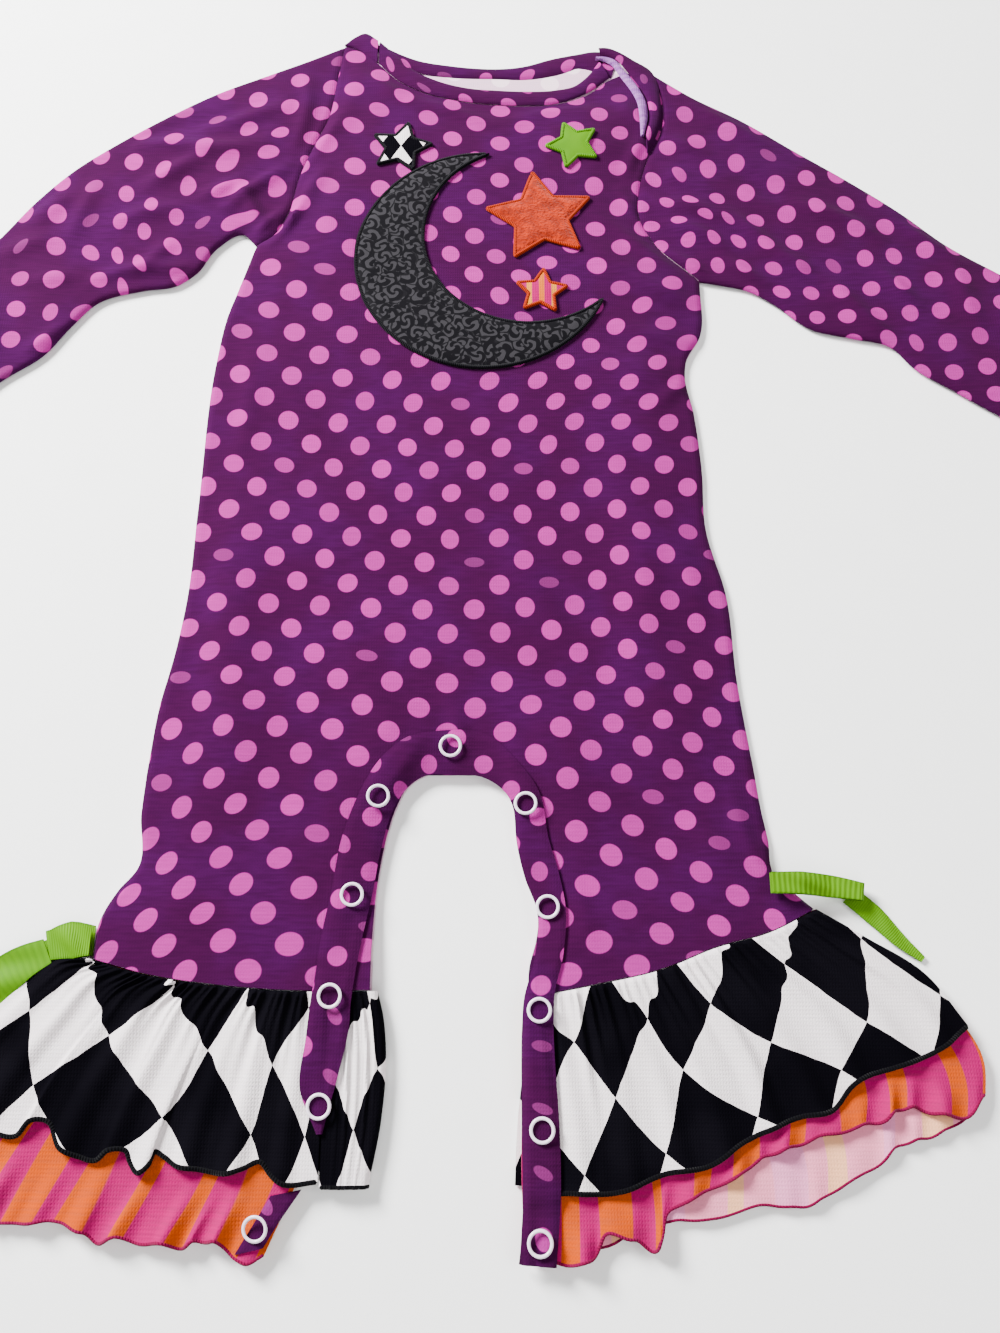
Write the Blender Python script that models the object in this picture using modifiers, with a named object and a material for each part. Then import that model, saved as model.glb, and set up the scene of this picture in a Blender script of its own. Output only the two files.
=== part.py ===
"""A small child's long-sleeved romper with ruffled legs, laid on its back.

The cloth lies on the plane z = 0 with the neck toward +Y, and left and right
are the viewer's. The origin is on that plane, under the middle of the body.
Plan sizes and heights are in millimetres until a mesh is made.
"""
import math

import bmesh
import bpy
import numpy as np
from mathutils import Vector
from mathutils.bvhtree import BVHTree

MM = 0.001

# Cloth and how it is stacked
WALL = 1.2
RUFFLE_WALL = 1.0
TRIM_WALL = 1.0
SEAM_GAP = 0.3
CUT_GAP = 0.45
FRONT_SEAT = WALL + SEAM_GAP
STRIPE_BACK_LEVEL = RUFFLE_WALL + SEAM_GAP
STRIPE_FRONT_LEVEL = STRIPE_BACK_LEVEL + RUFFLE_WALL + SEAM_GAP
HARLEQUIN_FRONT_LEVEL = STRIPE_FRONT_LEVEL + RUFFLE_WALL + 0.6
HEM_RISE_REACH = 42.0
PUFF = 1.5
PUFF_REACH = 26.0

# Outline of the body, x and y of each point, from the neck down
ARMHOLE_LEFT = [(-82, 344), (-85, 320), (-88, 297), (-95, 278), (-101, 259), (-106, 234), (-111, 224), (-120, 217)]
ARMHOLE_RIGHT = [(79, 326), (84, 307), (82, 286), (75, 270), (70, 252), (69, 234), (76, 218), (97, 196)]
SIDE_LEFT = [(-120, 217), (-126, 194), (-131, 175), (-134, 151), (-136, 73), (-137, 29), (-140, 4), (-144, -18),
             (-146.5, -47.5)]
SIDE_RIGHT = [(97, 196), (95, 164), (88, 151), (87, 144), (90, 123), (92, 94), (92, 64), (99, 32), (101, -7),
              (105.5, -47.5)]
LEG_OUTER_LEFT = [(-146.5, -47.5), (-147, -64), (-146, -86), (-153, -95), (-159, -107), (-160, -121)]
LEG_OUTER_RIGHT = [(105.5, -47.5), (107, -62), (109, -75), (110, -88), (118, -96), (125, -102)]
NOTCH_LEFT = [(-30, -47.5), (-37, -52), (-42, -61), (-46, -75), (-48, -86), (-50, -114), (-50, -133)]
NOTCH_RIGHT = [(-9, -47.5), (2, -54), (6, -61), (7, -75), (10, -89), (15, -104), (14, -114), (11, -125),
               (10.5, -136)]
LEG_HEM_LEFT = [(-160, -121), (-137, -127), (-109, -131), (-80, -133), (-50, -133)]
LEG_HEM_RIGHT = [(10.5, -136), (20, -134), (41, -130), (63, -125), (84, -117), (106, -111), (125, -102)]
FRONT_TOP = [(-82, 344), (-75, 341), (-64, 332), (-55, 322), (-40, 312.5), (-22, 307), (-2, 304), (14, 303.4),
             (29, 304.6), (47, 312), (56, 320), (66, 325), (79, 326)]
BACK_TOP = [(-82, 344), (-76, 350.5), (-71, 352.5), (-62, 344), (-45, 327.5), (-26, 324), (-2, 323), (14, 322.6),
            (31, 326), (45, 333), (55, 340), (62, 339), (71, 332.5), (79, 326)]

# Grid of the body panels
FRONT_LEG_COLUMNS = 9
BACK_LEG_COLUMNS = 7
ARCH_COLUMNS = 2
ARMHOLE_ROWS = 10
FRONT_TRUNK_ROWS = 14
FRONT_LEG_ROWS = 6
BACK_TRUNK_ROWS = 8
BACK_LEG_ROWS = 5

# Soft folds of the front: start x, start y, end x, end y, half width, height
FRONT_FOLDS = [
    (-62, 318, -20, 300, 9, 1.3),
    (-10, 297, 60, 296, 8, 1.2),
    (20, 284, 68, 276, 8, 1.2),
    (-84, 330, -90, 275, 10, 1.6),
    (-100, 248, -70, 205, 11, 1.3),
    (64, 232, 92, 200, 9, 1.6),
    (40, 214, 90, 188, 9, 1.2),
    (52, 150, 84, 140, 9, 1.2),
    (56, 96, 68, -30, 12, 1.4),
    (-118, 60, -112, -60, 13, 1.2),
    (-60, -8, -40, -60, 12, 1.0),
    (4, -20, 40, -60, 12, 1.1),
]

# Sleeves: upper and lower edges from the armhole to the cuff
SLEEVE_TOP_LEFT = [(-82, 345), (-100, 335), (-119, 326), (-148, 312), (-173, 296), (-200, 276), (-212, 266),
                   (-230, 246), (-247, 221), (-288, 172)]
SLEEVE_UNDER_LEFT = [(-120, 217), (-127, 224), (-139, 216), (-148, 201), (-157, 194), (-173, 191), (-194, 184),
                     (-205, 171), (-216, 155), (-235, 140), (-250, 124)]
SLEEVE_TOP_RIGHT = [(79, 327), (100, 310), (124, 295), (149, 276), (177, 255), (199, 237), (220, 217), (244, 200),
                    (290, 167)]
SLEEVE_UNDER_RIGHT = [(97, 196), (108, 194), (120, 191), (131, 184), (149, 169), (168, 164), (186, 159), (195, 148),
                      (213, 135), (232, 122), (253, 109)]
CUFF_LEFT = [(-288, 172), (-250, 124)]
CUFF_RIGHT = [(290, 167), (253, 109)]
SLEEVE_STATIONS = 13
SLEEVE_PUFF = 1.5
FOLD_SHARES = [0.012, 0.035]

# Wrinkles of a sleeve: share along, share across, half width along, height
SLEEVE_WRINKLES_LEFT = [(0.10, 0.45, 0.05, 0.9), (0.24, 0.70, 0.05, 1.2), (0.36, 0.80, 0.05, 1.3),
                        (0.50, 0.35, 0.06, 1.1), (0.63, 0.60, 0.06, 1.2), (0.80, 0.45, 0.05, 1.0)]
SLEEVE_WRINKLES_RIGHT = [(0.10, 0.70, 0.05, 1.2), (0.20, 0.55, 0.05, 1.2), (0.34, 0.80, 0.06, 1.1),
                         (0.47, 0.50, 0.06, 1.2), (0.62, 0.70, 0.05, 1.2), (0.80, 0.50, 0.05, 1.0)]

# Neck trim
NECK_FRONT_UPPER = [(-63.5, 347), (-54, 337), (-45, 327.5), (-33, 320.6), (-19, 316), (-2, 314), (12, 313.3),
                    (28, 314), (39, 317), (45, 322.5), (52, 333)]
NECK_FRONT_LOWER = [(-63.5, 332), (-55, 322.5), (-40, 313), (-22, 307.6), (-2, 304.6), (14, 304), (29, 305.2),
                    (46, 312.6), (57, 322)]
NECK_BACK_UPPER = [(-52, 340), (-43, 336), (-28.5, 332.8), (12.7, 332), (27.5, 337), (42, 340.5), (49, 342)]
NECK_BACK_LOWER = [(-44, 328.3), (-26, 324.6), (-2, 323.6), (14, 323.2), (31, 326.6), (44, 333.6), (50, 338)]
NECK_WALL = 1.6
LAP_LEFT_UPPER = [(-82, 344.8), (-77, 350.5), (-72, 353.3), (-64.5, 348.5)]
LAP_LEFT_LOWER = [(-82, 344.2), (-75, 342), (-69, 337), (-64.5, 333.5)]
LAP_RIGHT_OUTER = [(52, 342.3), (56, 342.4), (62.5, 339.6), (70.7, 333.5), (78, 327.8), (83, 307), (81, 287),
                   (75, 273)]
LAP_RIGHT_INNER = [(52.5, 337), (56, 336.6), (60, 335), (66, 327), (71.5, 317), (76, 306), (76.6, 296), (74, 282)]
LAP_EDGE_OUTER = [(50.5, 335.5), (55.5, 335.6), (59.5, 334.2), (65.3, 326.4), (70.8, 316.6), (75.2, 305.8),
                  (75.8, 296), (73.2, 282)]
LAP_EDGE_INNER = [(50, 334), (55, 332.8), (58, 330.8), (62.5, 323), (67, 314), (70.6, 304), (71.2, 295),
                  (71.6, 282)]

# Snap placket round the inside legs: inner x, inner y, outer x, outer y
PLACKET_ROWS = [
    (-66.3, -184, -67.7, -184),
    (-61.5, -166, -75, -168),
    (-58, -150, -73.5, -150),
    (-57, -134, -72, -134),
    (-54.5, -116, -70, -114),
    (-51, -97, -67, -96),
    (-48.4, -80, -64, -75),
    (-44.6, -65, -57.5, -56),
    (-39, -54.5, -49, -41.5),
    (-30.5, -48.4, -37, -32),
    (-19, -48.2, -20.5, -29.5),
    (-8, -48.8, -5, -31.5),
    (1.2, -54.2, 9, -45),
    (5.6, -62, 16.5, -57),
    (6.8, -76, 19.5, -74),
    (10, -90, 23.5, -88),
    (14.9, -104, 26, -103),
    (13.8, -120, 24.5, -120),
    (9.5, -137, 20.5, -137),
    (8.6, -160, 20.8, -160),
    (8.5, -183, 22, -183),
    (8.6, -206, 22, -206),
    (7, -227, 20, -228),
]
PLACKET_STRIPS = 3
PLACKET_REACH = 5.0
PLACKET_END_ROWS = [(-72.8, -203, -84, -205), (-80.5, -214, -90, -215), (-85.5, -222, -95.5, -224)]

# Snap rings: x, y
SNAPS = [(-88.5, -215.5), (-67.5, -174.5), (-65.2, -135.2), (-58.6, -96.9), (-49.5, -57.6), (-20.5, -36.5),
         (10.4, -60.5), (18.8, -101.6), (15.0, -140.4), (15.6, -182.6), (14.5, -220.0)]
SNAP_OUTER = 10.5
SNAP_WIRE = 1.5

# Ruffles: outer side, hem and inner side of each layer
HARLEQUIN_SIDE_LEFT = [(-160.5, -121.6), (-173, -122), (-182, -129), (-197, -143), (-207, -157)]
HARLEQUIN_HEM_LEFT = [(-207, -157), (-200, -172), (-188, -184), (-176, -181), (-166, -186), (-159, -192),
                      (-139, -194), (-132, -196), (-126, -192), (-119, -195), (-94, -198), (-87, -195), (-84, -201),
                      (-66.9, -201)]
HARLEQUIN_SIDE_RIGHT = [(125.5, -102.6), (143, -113), (165, -127), (179, -146)]
HARLEQUIN_HEM_RIGHT = [(12, -205), (24, -204), (41, -204), (63, -197), (77, -195), (88, -188), (99, -183),
                       (113, -178), (124, -176), (134, -166), (149, -161), (166, -155), (179, -146)]
STRIPE_SIDE_LEFT = [(-160.5, -121.9), (-178, -131), (-200, -152), (-212, -178)]
STRIPE_HEM_LEFT = [(-212, -178), (-203, -198), (-184, -214), (-173, -213), (-162, -216), (-148, -221), (-136, -218),
                   (-123, -219), (-109, -221), (-98, -226), (-91, -228), (-85, -224)]
STRIPE_SIDE_RIGHT = [(125.5, -102.9), (150, -120), (172, -138), (184, -160), (183, -170)]
STRIPE_HEM_RIGHT = [(9, -226), (22, -227), (33, -226), (38, -218), (48, -219), (56, -223), (61, -211), (72, -205),
                    (84, -200), (98, -192), (113, -187), (127, -183), (141, -180), (152, -175), (163, -177),
                    (175, -178), (183, -170)]
STRIPE_BACK_HEM_RIGHT = [(9, -225), (30, -224), (61, -214), (80, -213), (94, -209), (113, -209), (127, -202),
                         (138, -197), (149, -189), (161, -186), (174, -180), (183, -171)]
WRAP_FOLD = [(-52, -133.8), (-47.5, -143), (-46, -157), (-47, -179), (-51, -202)]
WRAP_END_X = -66.3
WRAP_COLUMNS = 5
WRAP_ARC_COLUMNS = 4
RUFFLE_COLUMNS = 44
STRIPE_COLUMNS = 46
HIDDEN_COLUMNS = 18

# Gathers of a front ruffle: place along, half width, height at the hem
GATHERS_LEFT = [(0.05, 0.040, 1.4), (0.15, 0.045, 1.8), (0.27, 0.040, 1.5), (0.38, 0.050, 2.0), (0.49, 0.040, 1.6),
                (0.59, 0.045, 2.1), (0.70, 0.040, 1.7), (0.80, 0.045, 2.2), (0.92, 0.040, 1.6)]
GATHERS_RIGHT = [(0.10, 0.040, 1.6), (0.20, 0.045, 2.0), (0.31, 0.040, 1.6), (0.41, 0.050, 2.2), (0.52, 0.040, 1.6),
                 (0.62, 0.045, 1.9), (0.73, 0.045, 1.5), (0.84, 0.050, 1.8), (0.94, 0.035, 1.3)]
HEM_WAVES_LEFT = [(0.06, 0.040, 2.2), (0.17, 0.045, 1.8), (0.28, 0.040, 2.4), (0.40, 0.045, 1.9),
                  (0.51, 0.040, 2.3), (0.62, 0.045, 1.9), (0.74, 0.040, 2.5), (0.86, 0.045, 2.0)]
HEM_WAVES_RIGHT = [(0.11, 0.035, 2.3), (0.20, 0.035, 2.6), (0.29, 0.035, 2.4), (0.38, 0.040, 1.9),
                   (0.48, 0.040, 2.3), (0.58, 0.040, 1.9), (0.68, 0.040, 2.2), (0.79, 0.040, 2.0),
                   (0.90, 0.040, 2.4)]

# Side bows: x, y, width and height of the under layer, from the leg outward
BOW_LEFT_LOOP = [(-161.5, -114.5, 11, 0.6), (-168, -113.5, 14, 0.6), (-175.5, -114.5, 10, 0.6)]
BOW_LEFT_TAIL = [(-179.5, -119.6, 9, 0.6), (-190, -127.5, 12, 0.6), (-202, -138, 13, 0.6), (-213, -149, 10, 0.6)]
BOW_RIGHT_LOOP = [(107, -92.5, 8, 7.6), (118, -92.6, 8.5, 6.4), (131, -93.5, 8.5, 3.0), (143, -95.5, 7, 2.0)]
BOW_RIGHT_TAIL = [(140, -96.5, 8, 0.6), (150, -105.5, 8, 0.6), (159, -115, 6, 0.6), (166.5, -121.5, 2.5, 0.6)]
BOW_RISE_LEFT = 4.2
BOW_RISE_RIGHT = 3.0

# Chest applique, a moon among stars: centre x, centre y, radius, turn
MOON_CENTRE = (-8.0, 208.0)
MOON_RADIUS = 62.0
BAY_CENTRE = (14.0, 222.0)
BAY_RADIUS = 52.0
STARS = {
    "star_orange": (20.0, 232.0, 27.0, 8.0),
    "star_harlequin": (-50.0, 275.0, 15.5, -12.0),
    "star_lime": (37.0, 276.0, 13.5, 20.0),
    "star_striped": (20.0, 188.0, 12.5, -5.0),
}
STAR_WAIST = 0.5
APPLIQUE_CELL = 12.0

PURPLE = (0.098, 0.014, 0.117)
LAVENDER = (0.61, 0.46, 0.60)
BLACK = (0.006, 0.006, 0.009)
HARLEQUIN_WHITE = (0.78, 0.70, 0.70)
ORANGE = (1.0, 0.22, 0.012)
MAGENTA = (0.70, 0.036, 0.24)
LIME = (0.27, 0.68, 0.004)
RING_WHITE = (0.84, 0.68, 0.86)


def smooth_step(share):
    """Ease a share from 0 to 1."""
    share = min(max(share, 0.0), 1.0)
    return share * share * (3 - 2 * share)


def curve_through(points):
    """Give a smooth plan curve through points, by its share from 0 to 1."""
    rows = np.array(points, float)
    steps = np.linalg.norm(np.diff(rows, axis=0), axis=1)
    along = np.concatenate([[0.0], np.cumsum(steps)]) / steps.sum()
    slopes = np.gradient(rows, along, axis=0)

    def at(share):
        k = int(np.clip(np.searchsorted(along, share) - 1, 0, len(rows) - 2))
        span = along[k + 1] - along[k]
        t = (share - along[k]) / span
        start = (1 + 2 * t) * (1 - t) ** 2 * rows[k] + t * (1 - t) ** 2 * span * slopes[k]
        end = t * t * (3 - 2 * t) * rows[k + 1] - t * t * (1 - t) * span * slopes[k + 1]
        return start + end

    return at


def stepped(curve, count):
    """Cut a curve into straight steps, so that two pieces can share its line."""
    knots = np.array([curve(k / count) for k in range(count + 1)])

    def at(share):
        place = np.linspace(0, 1, count + 1)
        return np.array([np.interp(share, place, knots[:, 0]), np.interp(share, place, knots[:, 1])])

    return at


def line(first, last):
    """Give a straight plan line between two points."""
    first = np.array(first, float)
    last = np.array(last, float)
    return lambda share: first + share * (last - first)


def moved(curve, dx, dy):
    """Give a curve shifted in plan."""
    return lambda share: curve(share) + np.array([dx, dy])


def patch(start, end, low, high):
    """Blend four plan curves: low and high run with u, start and end with v."""
    def at(u, v):
        across = (1 - v) * low(u) + v * high(u)
        down = (1 - u) * start(v) + u * end(v)
        first = (1 - v) * low(0.0) + v * high(0.0)
        last = (1 - v) * low(1.0) + v * high(1.0)
        return across + down - (1 - u) * first - u * last

    return at


def cloth_finish(name, colour, roughness):
    """Make the plain finish of a piece."""
    finish = bpy.data.materials.new(name)
    finish.use_nodes = True
    shader = finish.node_tree.nodes["Principled BSDF"]
    shader.inputs["Base Color"].default_value = (*colour, 1.0)
    shader.inputs["Roughness"].default_value = roughness
    shader.inputs["Metallic"].default_value = 0.0
    return finish


def add_piece(name, mesh_data, colour, roughness=0.9):
    """Put a mesh into the romper's collection as a named piece."""
    piece = bpy.data.objects.new(name, mesh_data)
    romper.objects.link(piece)
    piece.parent = laid_flat
    mesh_data.materials.append(cloth_finish(name + "_finish", colour, roughness))
    mesh_data.shade_smooth()
    mesh_data.set_sharp_from_angle(angle=math.radians(40))
    return piece


def thicken(piece, wall, offset):
    """Give an open sheet its wall, upward from its points or on both sides."""
    solidify = piece.modifiers.new("wall", "SOLIDIFY")
    solidify.thickness = wall * MM
    solidify.offset = offset


def sheet(name, place, columns, rows, wall, colour, offset=1.0, left_out=None):
    """Make one cloth sheet: place(u, v) gives the x, y and z of each point."""
    grid = bmesh.new()
    bmesh.ops.create_grid(grid, x_segments=columns, y_segments=rows, size=0.5)
    shares = {vert: (vert.co.x + 0.5, vert.co.y + 0.5) for vert in grid.verts}
    if left_out:
        gone = [face for face in grid.faces if left_out(*np.mean([shares[v] for v in face.verts], axis=0))]
        bmesh.ops.delete(grid, geom=gone, context="FACES")
    for vert in grid.verts:
        vert.co = Vector(place(*shares[vert])) * MM
    grid.normal_update()
    if sum(face.normal.z * face.calc_area() for face in grid.faces if face.normal.z) < 0:
        bmesh.ops.reverse_faces(grid, faces=grid.faces)
    mesh_data = bpy.data.meshes.new(name)
    grid.to_mesh(mesh_data)
    grid.free()
    piece = add_piece(name, mesh_data, colour)
    thicken(piece, wall, offset)
    return piece


def surface_of(*pieces):
    """Give the finished surfaces of pieces, for laying others on them."""
    depsgraph = bpy.context.evaluated_depsgraph_get()
    return [BVHTree.FromObject(piece, depsgraph) for piece in pieces]


def top_over(surfaces, x, y, reach, floor):
    """Find the highest point of surfaces within reach of a plan point."""
    highest = floor
    for dx, dy in ((0, 0), (1, 0), (-1, 0), (0, 1), (0, -1), (0.7, 0.7), (-0.7, 0.7), (0.7, -0.7), (-0.7, -0.7)):
        for surface in surfaces:
            above = Vector(((x + dx * reach) * MM, (y + dy * reach) * MM, 1.0))
            spot = surface.ray_cast(above, Vector((0, 0, -1)))[0]
            if spot:
                highest = max(highest, spot.z / MM)
    return highest


# The body's outline as curves, shared by the front, the back and the sleeves
armhole_left = stepped(curve_through(ARMHOLE_LEFT), ARMHOLE_ROWS)
armhole_right = stepped(curve_through(ARMHOLE_RIGHT), ARMHOLE_ROWS)
side_left = curve_through(SIDE_LEFT)
side_right = curve_through(SIDE_RIGHT)
leg_outer_left = curve_through(LEG_OUTER_LEFT)
leg_outer_right = curve_through(LEG_OUTER_RIGHT)
notch_left = curve_through(NOTCH_LEFT)
notch_right = curve_through(NOTCH_RIGHT)
leg_hem_left = curve_through(LEG_HEM_LEFT)
leg_hem_right = curve_through(LEG_HEM_RIGHT)
armpit_line = line(SIDE_LEFT[0], SIDE_RIGHT[0])
crotch_line = line(SIDE_LEFT[-1], SIDE_RIGHT[-1])
CROTCH_WIDTH = SIDE_RIGHT[-1][0] - SIDE_LEFT[-1][0]
NOTCH_FROM = (NOTCH_LEFT[0][0] - SIDE_LEFT[-1][0]) / CROTCH_WIDTH
NOTCH_TO = (NOTCH_RIGHT[0][0] - SIDE_LEFT[-1][0]) / CROTCH_WIDTH


def body_plan(top):
    """Give the plan of a body panel under its top line: zone 0 to 1 holds the armholes, 1 to 2 the trunk,
    2 to 3 the legs."""
    chest = patch(armhole_left, armhole_right, top, armpit_line)
    trunk = patch(side_left, side_right, armpit_line, crotch_line)
    left_leg = patch(leg_outer_left, notch_left, line(SIDE_LEFT[-1], NOTCH_LEFT[0]), leg_hem_left)
    right_leg = patch(notch_right, leg_outer_right, line(NOTCH_RIGHT[0], SIDE_RIGHT[-1]), leg_hem_right)

    def at(u, zone):
        if zone <= 1:
            return chest(u, zone)
        if zone <= 2:
            return trunk(u, zone - 1)
        if u <= NOTCH_FROM + 1e-6:
            return left_leg(u / NOTCH_FROM, zone - 2)
        if u >= NOTCH_TO - 1e-6:
            return right_leg((u - NOTCH_TO) / (1 - NOTCH_TO), zone - 2)
        share = (u - NOTCH_FROM) / (NOTCH_TO - NOTCH_FROM)
        return (1 - share) * notch_left(zone - 2) + share * notch_right(zone - 2)

    return at


def body_columns(leg_columns):
    """Spread the columns over the left leg, the arch and the right leg."""
    left = np.linspace(0, NOTCH_FROM, leg_columns + 1)
    arch = np.linspace(NOTCH_FROM, NOTCH_TO, ARCH_COLUMNS + 1)
    right = np.linspace(NOTCH_TO, 1, leg_columns + 1)
    return np.concatenate([left, arch[1:-1], right])


def body_rows(trunk_rows, leg_rows):
    """Spread the rows over the armholes, the trunk and the legs."""
    chest = np.linspace(0, 1, ARMHOLE_ROWS + 1)
    trunk = np.linspace(1, 2, trunk_rows + 1)
    legs = np.linspace(2, 3, leg_rows + 1)
    return np.concatenate([chest, trunk[1:], legs[1:]])


def outline_points(top):
    """Sample the outline of a body panel, closed."""
    runs = [armhole_left, side_left, leg_outer_left, leg_hem_left]
    shares = np.linspace(0, 1, 13)[:-1]
    points = [run(share) for run in runs for share in shares]
    points += [notch_left(1 - share) for share in shares] + [NOTCH_LEFT[0]]
    points += [notch_right(share) for share in shares] + [leg_hem_right(share) for share in shares]
    for run in (leg_outer_right, side_right, armhole_right):
        points += [run(1 - share) for share in shares]
    points += [top(1 - share) for share in shares]
    return np.array(points, float)


def depth_inside(outline, x, y):
    """Measure how far a plan point is from an outline's nearest edge."""
    start = outline
    step = np.roll(outline, -1, axis=0) - start
    here = np.array([x, y]) - start
    share = np.clip((here * step).sum(axis=1) / np.maximum((step * step).sum(axis=1), 1e-9), 0, 1)
    return float(np.linalg.norm(here - share[:, None] * step, axis=1).min())


def fold_height(x, y):
    """Add up the front's soft folds at a plan point."""
    height = 0.0
    for x0, y0, x1, y1, half_width, rise in FRONT_FOLDS:
        run = np.array([x1 - x0, y1 - y0], float)
        here = np.array([x - x0, y - y0], float)
        share = float(np.clip(here @ run / (run @ run), 0, 1))
        away = np.linalg.norm(here - share * run) / half_width
        height += rise * math.exp(-away * away) * (0.35 + 0.65 * math.sin(math.pi * share))
    return height


def hem_line_y(x):
    """Give the height in plan of the leg hem under a point."""
    rows = LEG_HEM_LEFT + LEG_HEM_RIGHT
    return float(np.interp(x, [row[0] for row in rows], [row[1] for row in rows]))


def front_height(outline, x, y):
    """Give the height of the front panel's inner face."""
    depth = depth_inside(outline, x, y)
    puff = PUFF * smooth_step(depth / PUFF_REACH)
    folds = fold_height(x, y) * smooth_step(depth / (0.5 * PUFF_REACH))
    near_hem = 1 - (y - hem_line_y(x)) / HEM_RISE_REACH
    rise = (HARLEQUIN_FRONT_LEVEL - FRONT_SEAT) * smooth_step(near_hem)
    settled = smooth_step(1 - near_hem)
    return FRONT_SEAT + (puff + folds) * settled + rise


def body_panel(name, top, leg_columns, trunk_rows, leg_rows, height, colour):
    """Make the front or the back, cut out between the legs."""
    plan = body_plan(top)
    column_shares = body_columns(leg_columns)
    row_zones = body_rows(trunk_rows, leg_rows)
    columns = len(column_shares) - 1
    rows = len(row_zones) - 1

    def place(u, v):
        share = float(np.interp(u * columns, range(columns + 1), column_shares))
        zone = float(np.interp(v * rows, range(rows + 1), row_zones))
        x, y = plan(share, zone)
        return x, y, height(x, y)

    def between_legs(u, v):
        return leg_columns < u * columns < leg_columns + ARCH_COLUMNS and v * rows > rows - leg_rows

    return sheet(name, place, columns, rows, WALL, colour, left_out=between_legs)


def front_body():
    """Make the front, with its soft folds, rising to the ruffles at the leg hems."""
    top = curve_through(FRONT_TOP)
    outline = outline_points(top)

    def height(x, y):
        return front_height(outline, x, y)

    return body_panel("front_body", top, FRONT_LEG_COLUMNS, FRONT_TRUNK_ROWS, FRONT_LEG_ROWS, height, PURPLE)


def back_body():
    """Make the back, flat on the surface."""
    top = curve_through(BACK_TOP)
    return body_panel("back_body", top, BACK_LEG_COLUMNS, BACK_TRUNK_ROWS, BACK_LEG_ROWS, lambda x, y: 0.0, PURPLE)


def sleeve_height(u, v, wrinkles):
    """Give the height of a sleeve's upper face, u along it and v across."""
    edge = 2 * WALL + SEAM_GAP
    belly = math.sin(math.pi * v) ** 0.8 * smooth_step(u / 0.12)
    ripple = 0.0
    for along, across, half_width, rise in wrinkles:
        slant = u - along - 0.10 * (v - across)
        ripple += rise * math.exp(-(slant / half_width) ** 2 - ((v - across) / 0.35) ** 2)
    return edge + belly * (SLEEVE_PUFF + ripple)


def sleeve(name, armhole, cuff, top_edge, under_edge, wrinkles):
    """Make a sleeve as a flattened tube, open at the armhole and at the cuff."""
    plan = patch(armhole, line(*cuff), curve_through(top_edge), curve_through(under_edge))
    inner_shares = [k / ARMHOLE_ROWS for k in range(1, ARMHOLE_ROWS)]
    across = [0.0, *FOLD_SHARES, *inner_shares, *[1 - share for share in reversed(FOLD_SHARES)], 1.0]
    round_off = [0.0, 0.62, 0.92] + [1.0] * len(inner_shares) + [0.92, 0.62, 0.0]
    middle = WALL + 0.5 * SEAM_GAP
    tube = bmesh.new()
    rings = []
    for station in range(SLEEVE_STATIONS + 1):
        u = station / SLEEVE_STATIONS
        width = np.linalg.norm(plan(u, 1.0) - plan(u, 0.0))
        inset = (WALL + 0.2) / width
        outer_up, inner_up, outer_down, inner_down = [], [], [], []
        for v, roundness in zip(across, round_off):
            x, y = plan(u, v)
            inner_v = inset + v * (1 - 2 * inset)
            inner_x, inner_y = plan(u, inner_v)
            crown = sleeve_height(u, v, wrinkles)
            outer_up.append((x, y, middle + (crown - middle) * roundness))
            inner_up.append((inner_x, inner_y, middle + (crown - WALL - middle) * roundness))
            outer_down.append((x, y, middle * (1 - roundness)))
            inner_down.append((inner_x, inner_y, middle - 0.5 * SEAM_GAP * roundness))
        outer = outer_up + outer_down[-2:0:-1]
        inner = inner_up + inner_down[-2:0:-1]
        rings.append([[tube.verts.new(Vector(point) * MM) for point in ring] for ring in (outer, inner)])
    count = len(rings[0][0])
    for near, far in zip(rings, rings[1:]):
        for k in range(count):
            after = (k + 1) % count
            tube.faces.new((near[0][k], near[0][after], far[0][after], far[0][k]))
            tube.faces.new((near[1][after], near[1][k], far[1][k], far[1][after]))
    for outer, inner in (rings[0], rings[-1]):
        for k in range(count):
            after = (k + 1) % count
            tube.faces.new((outer[k], outer[after], inner[after], inner[k]))
    bmesh.ops.recalc_face_normals(tube, faces=tube.faces)
    mesh_data = bpy.data.meshes.new(name)
    tube.to_mesh(mesh_data)
    tube.free()
    return add_piece(name, mesh_data, PURPLE)


def sleeves():
    """Make both sleeves, each a seam's gap from the body."""
    left_hole = moved(armhole_left, -0.28, 0.28)
    right_hole = moved(armhole_right, 0.28, 0.28)
    left = sleeve("sleeve_left", left_hole, CUFF_LEFT, shifted(SLEEVE_TOP_LEFT, left_hole(0.0)),
                  shifted(SLEEVE_UNDER_LEFT, left_hole(1.0)), SLEEVE_WRINKLES_LEFT)
    right = sleeve("sleeve_right", right_hole, CUFF_RIGHT, shifted(SLEEVE_TOP_RIGHT, right_hole(0.0)),
                   shifted(SLEEVE_UNDER_RIGHT, right_hole(1.0)), SLEEVE_WRINKLES_RIGHT)
    return left, right


def shifted(points, first):
    """Start an edge exactly at a given point."""
    return [tuple(first)] + list(points[1:])


def band(name, outer, inner, columns, strips, wall, colour, height):
    """Make a strip of cloth between two plan curves."""
    upper = curve_through(outer)
    lower = curve_through(inner)

    def place(u, v):
        x, y = (1 - v) * upper(u) + v * lower(u)
        return x, y, height(x, y)

    return sheet(name, place, columns, strips, wall, colour)


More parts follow.
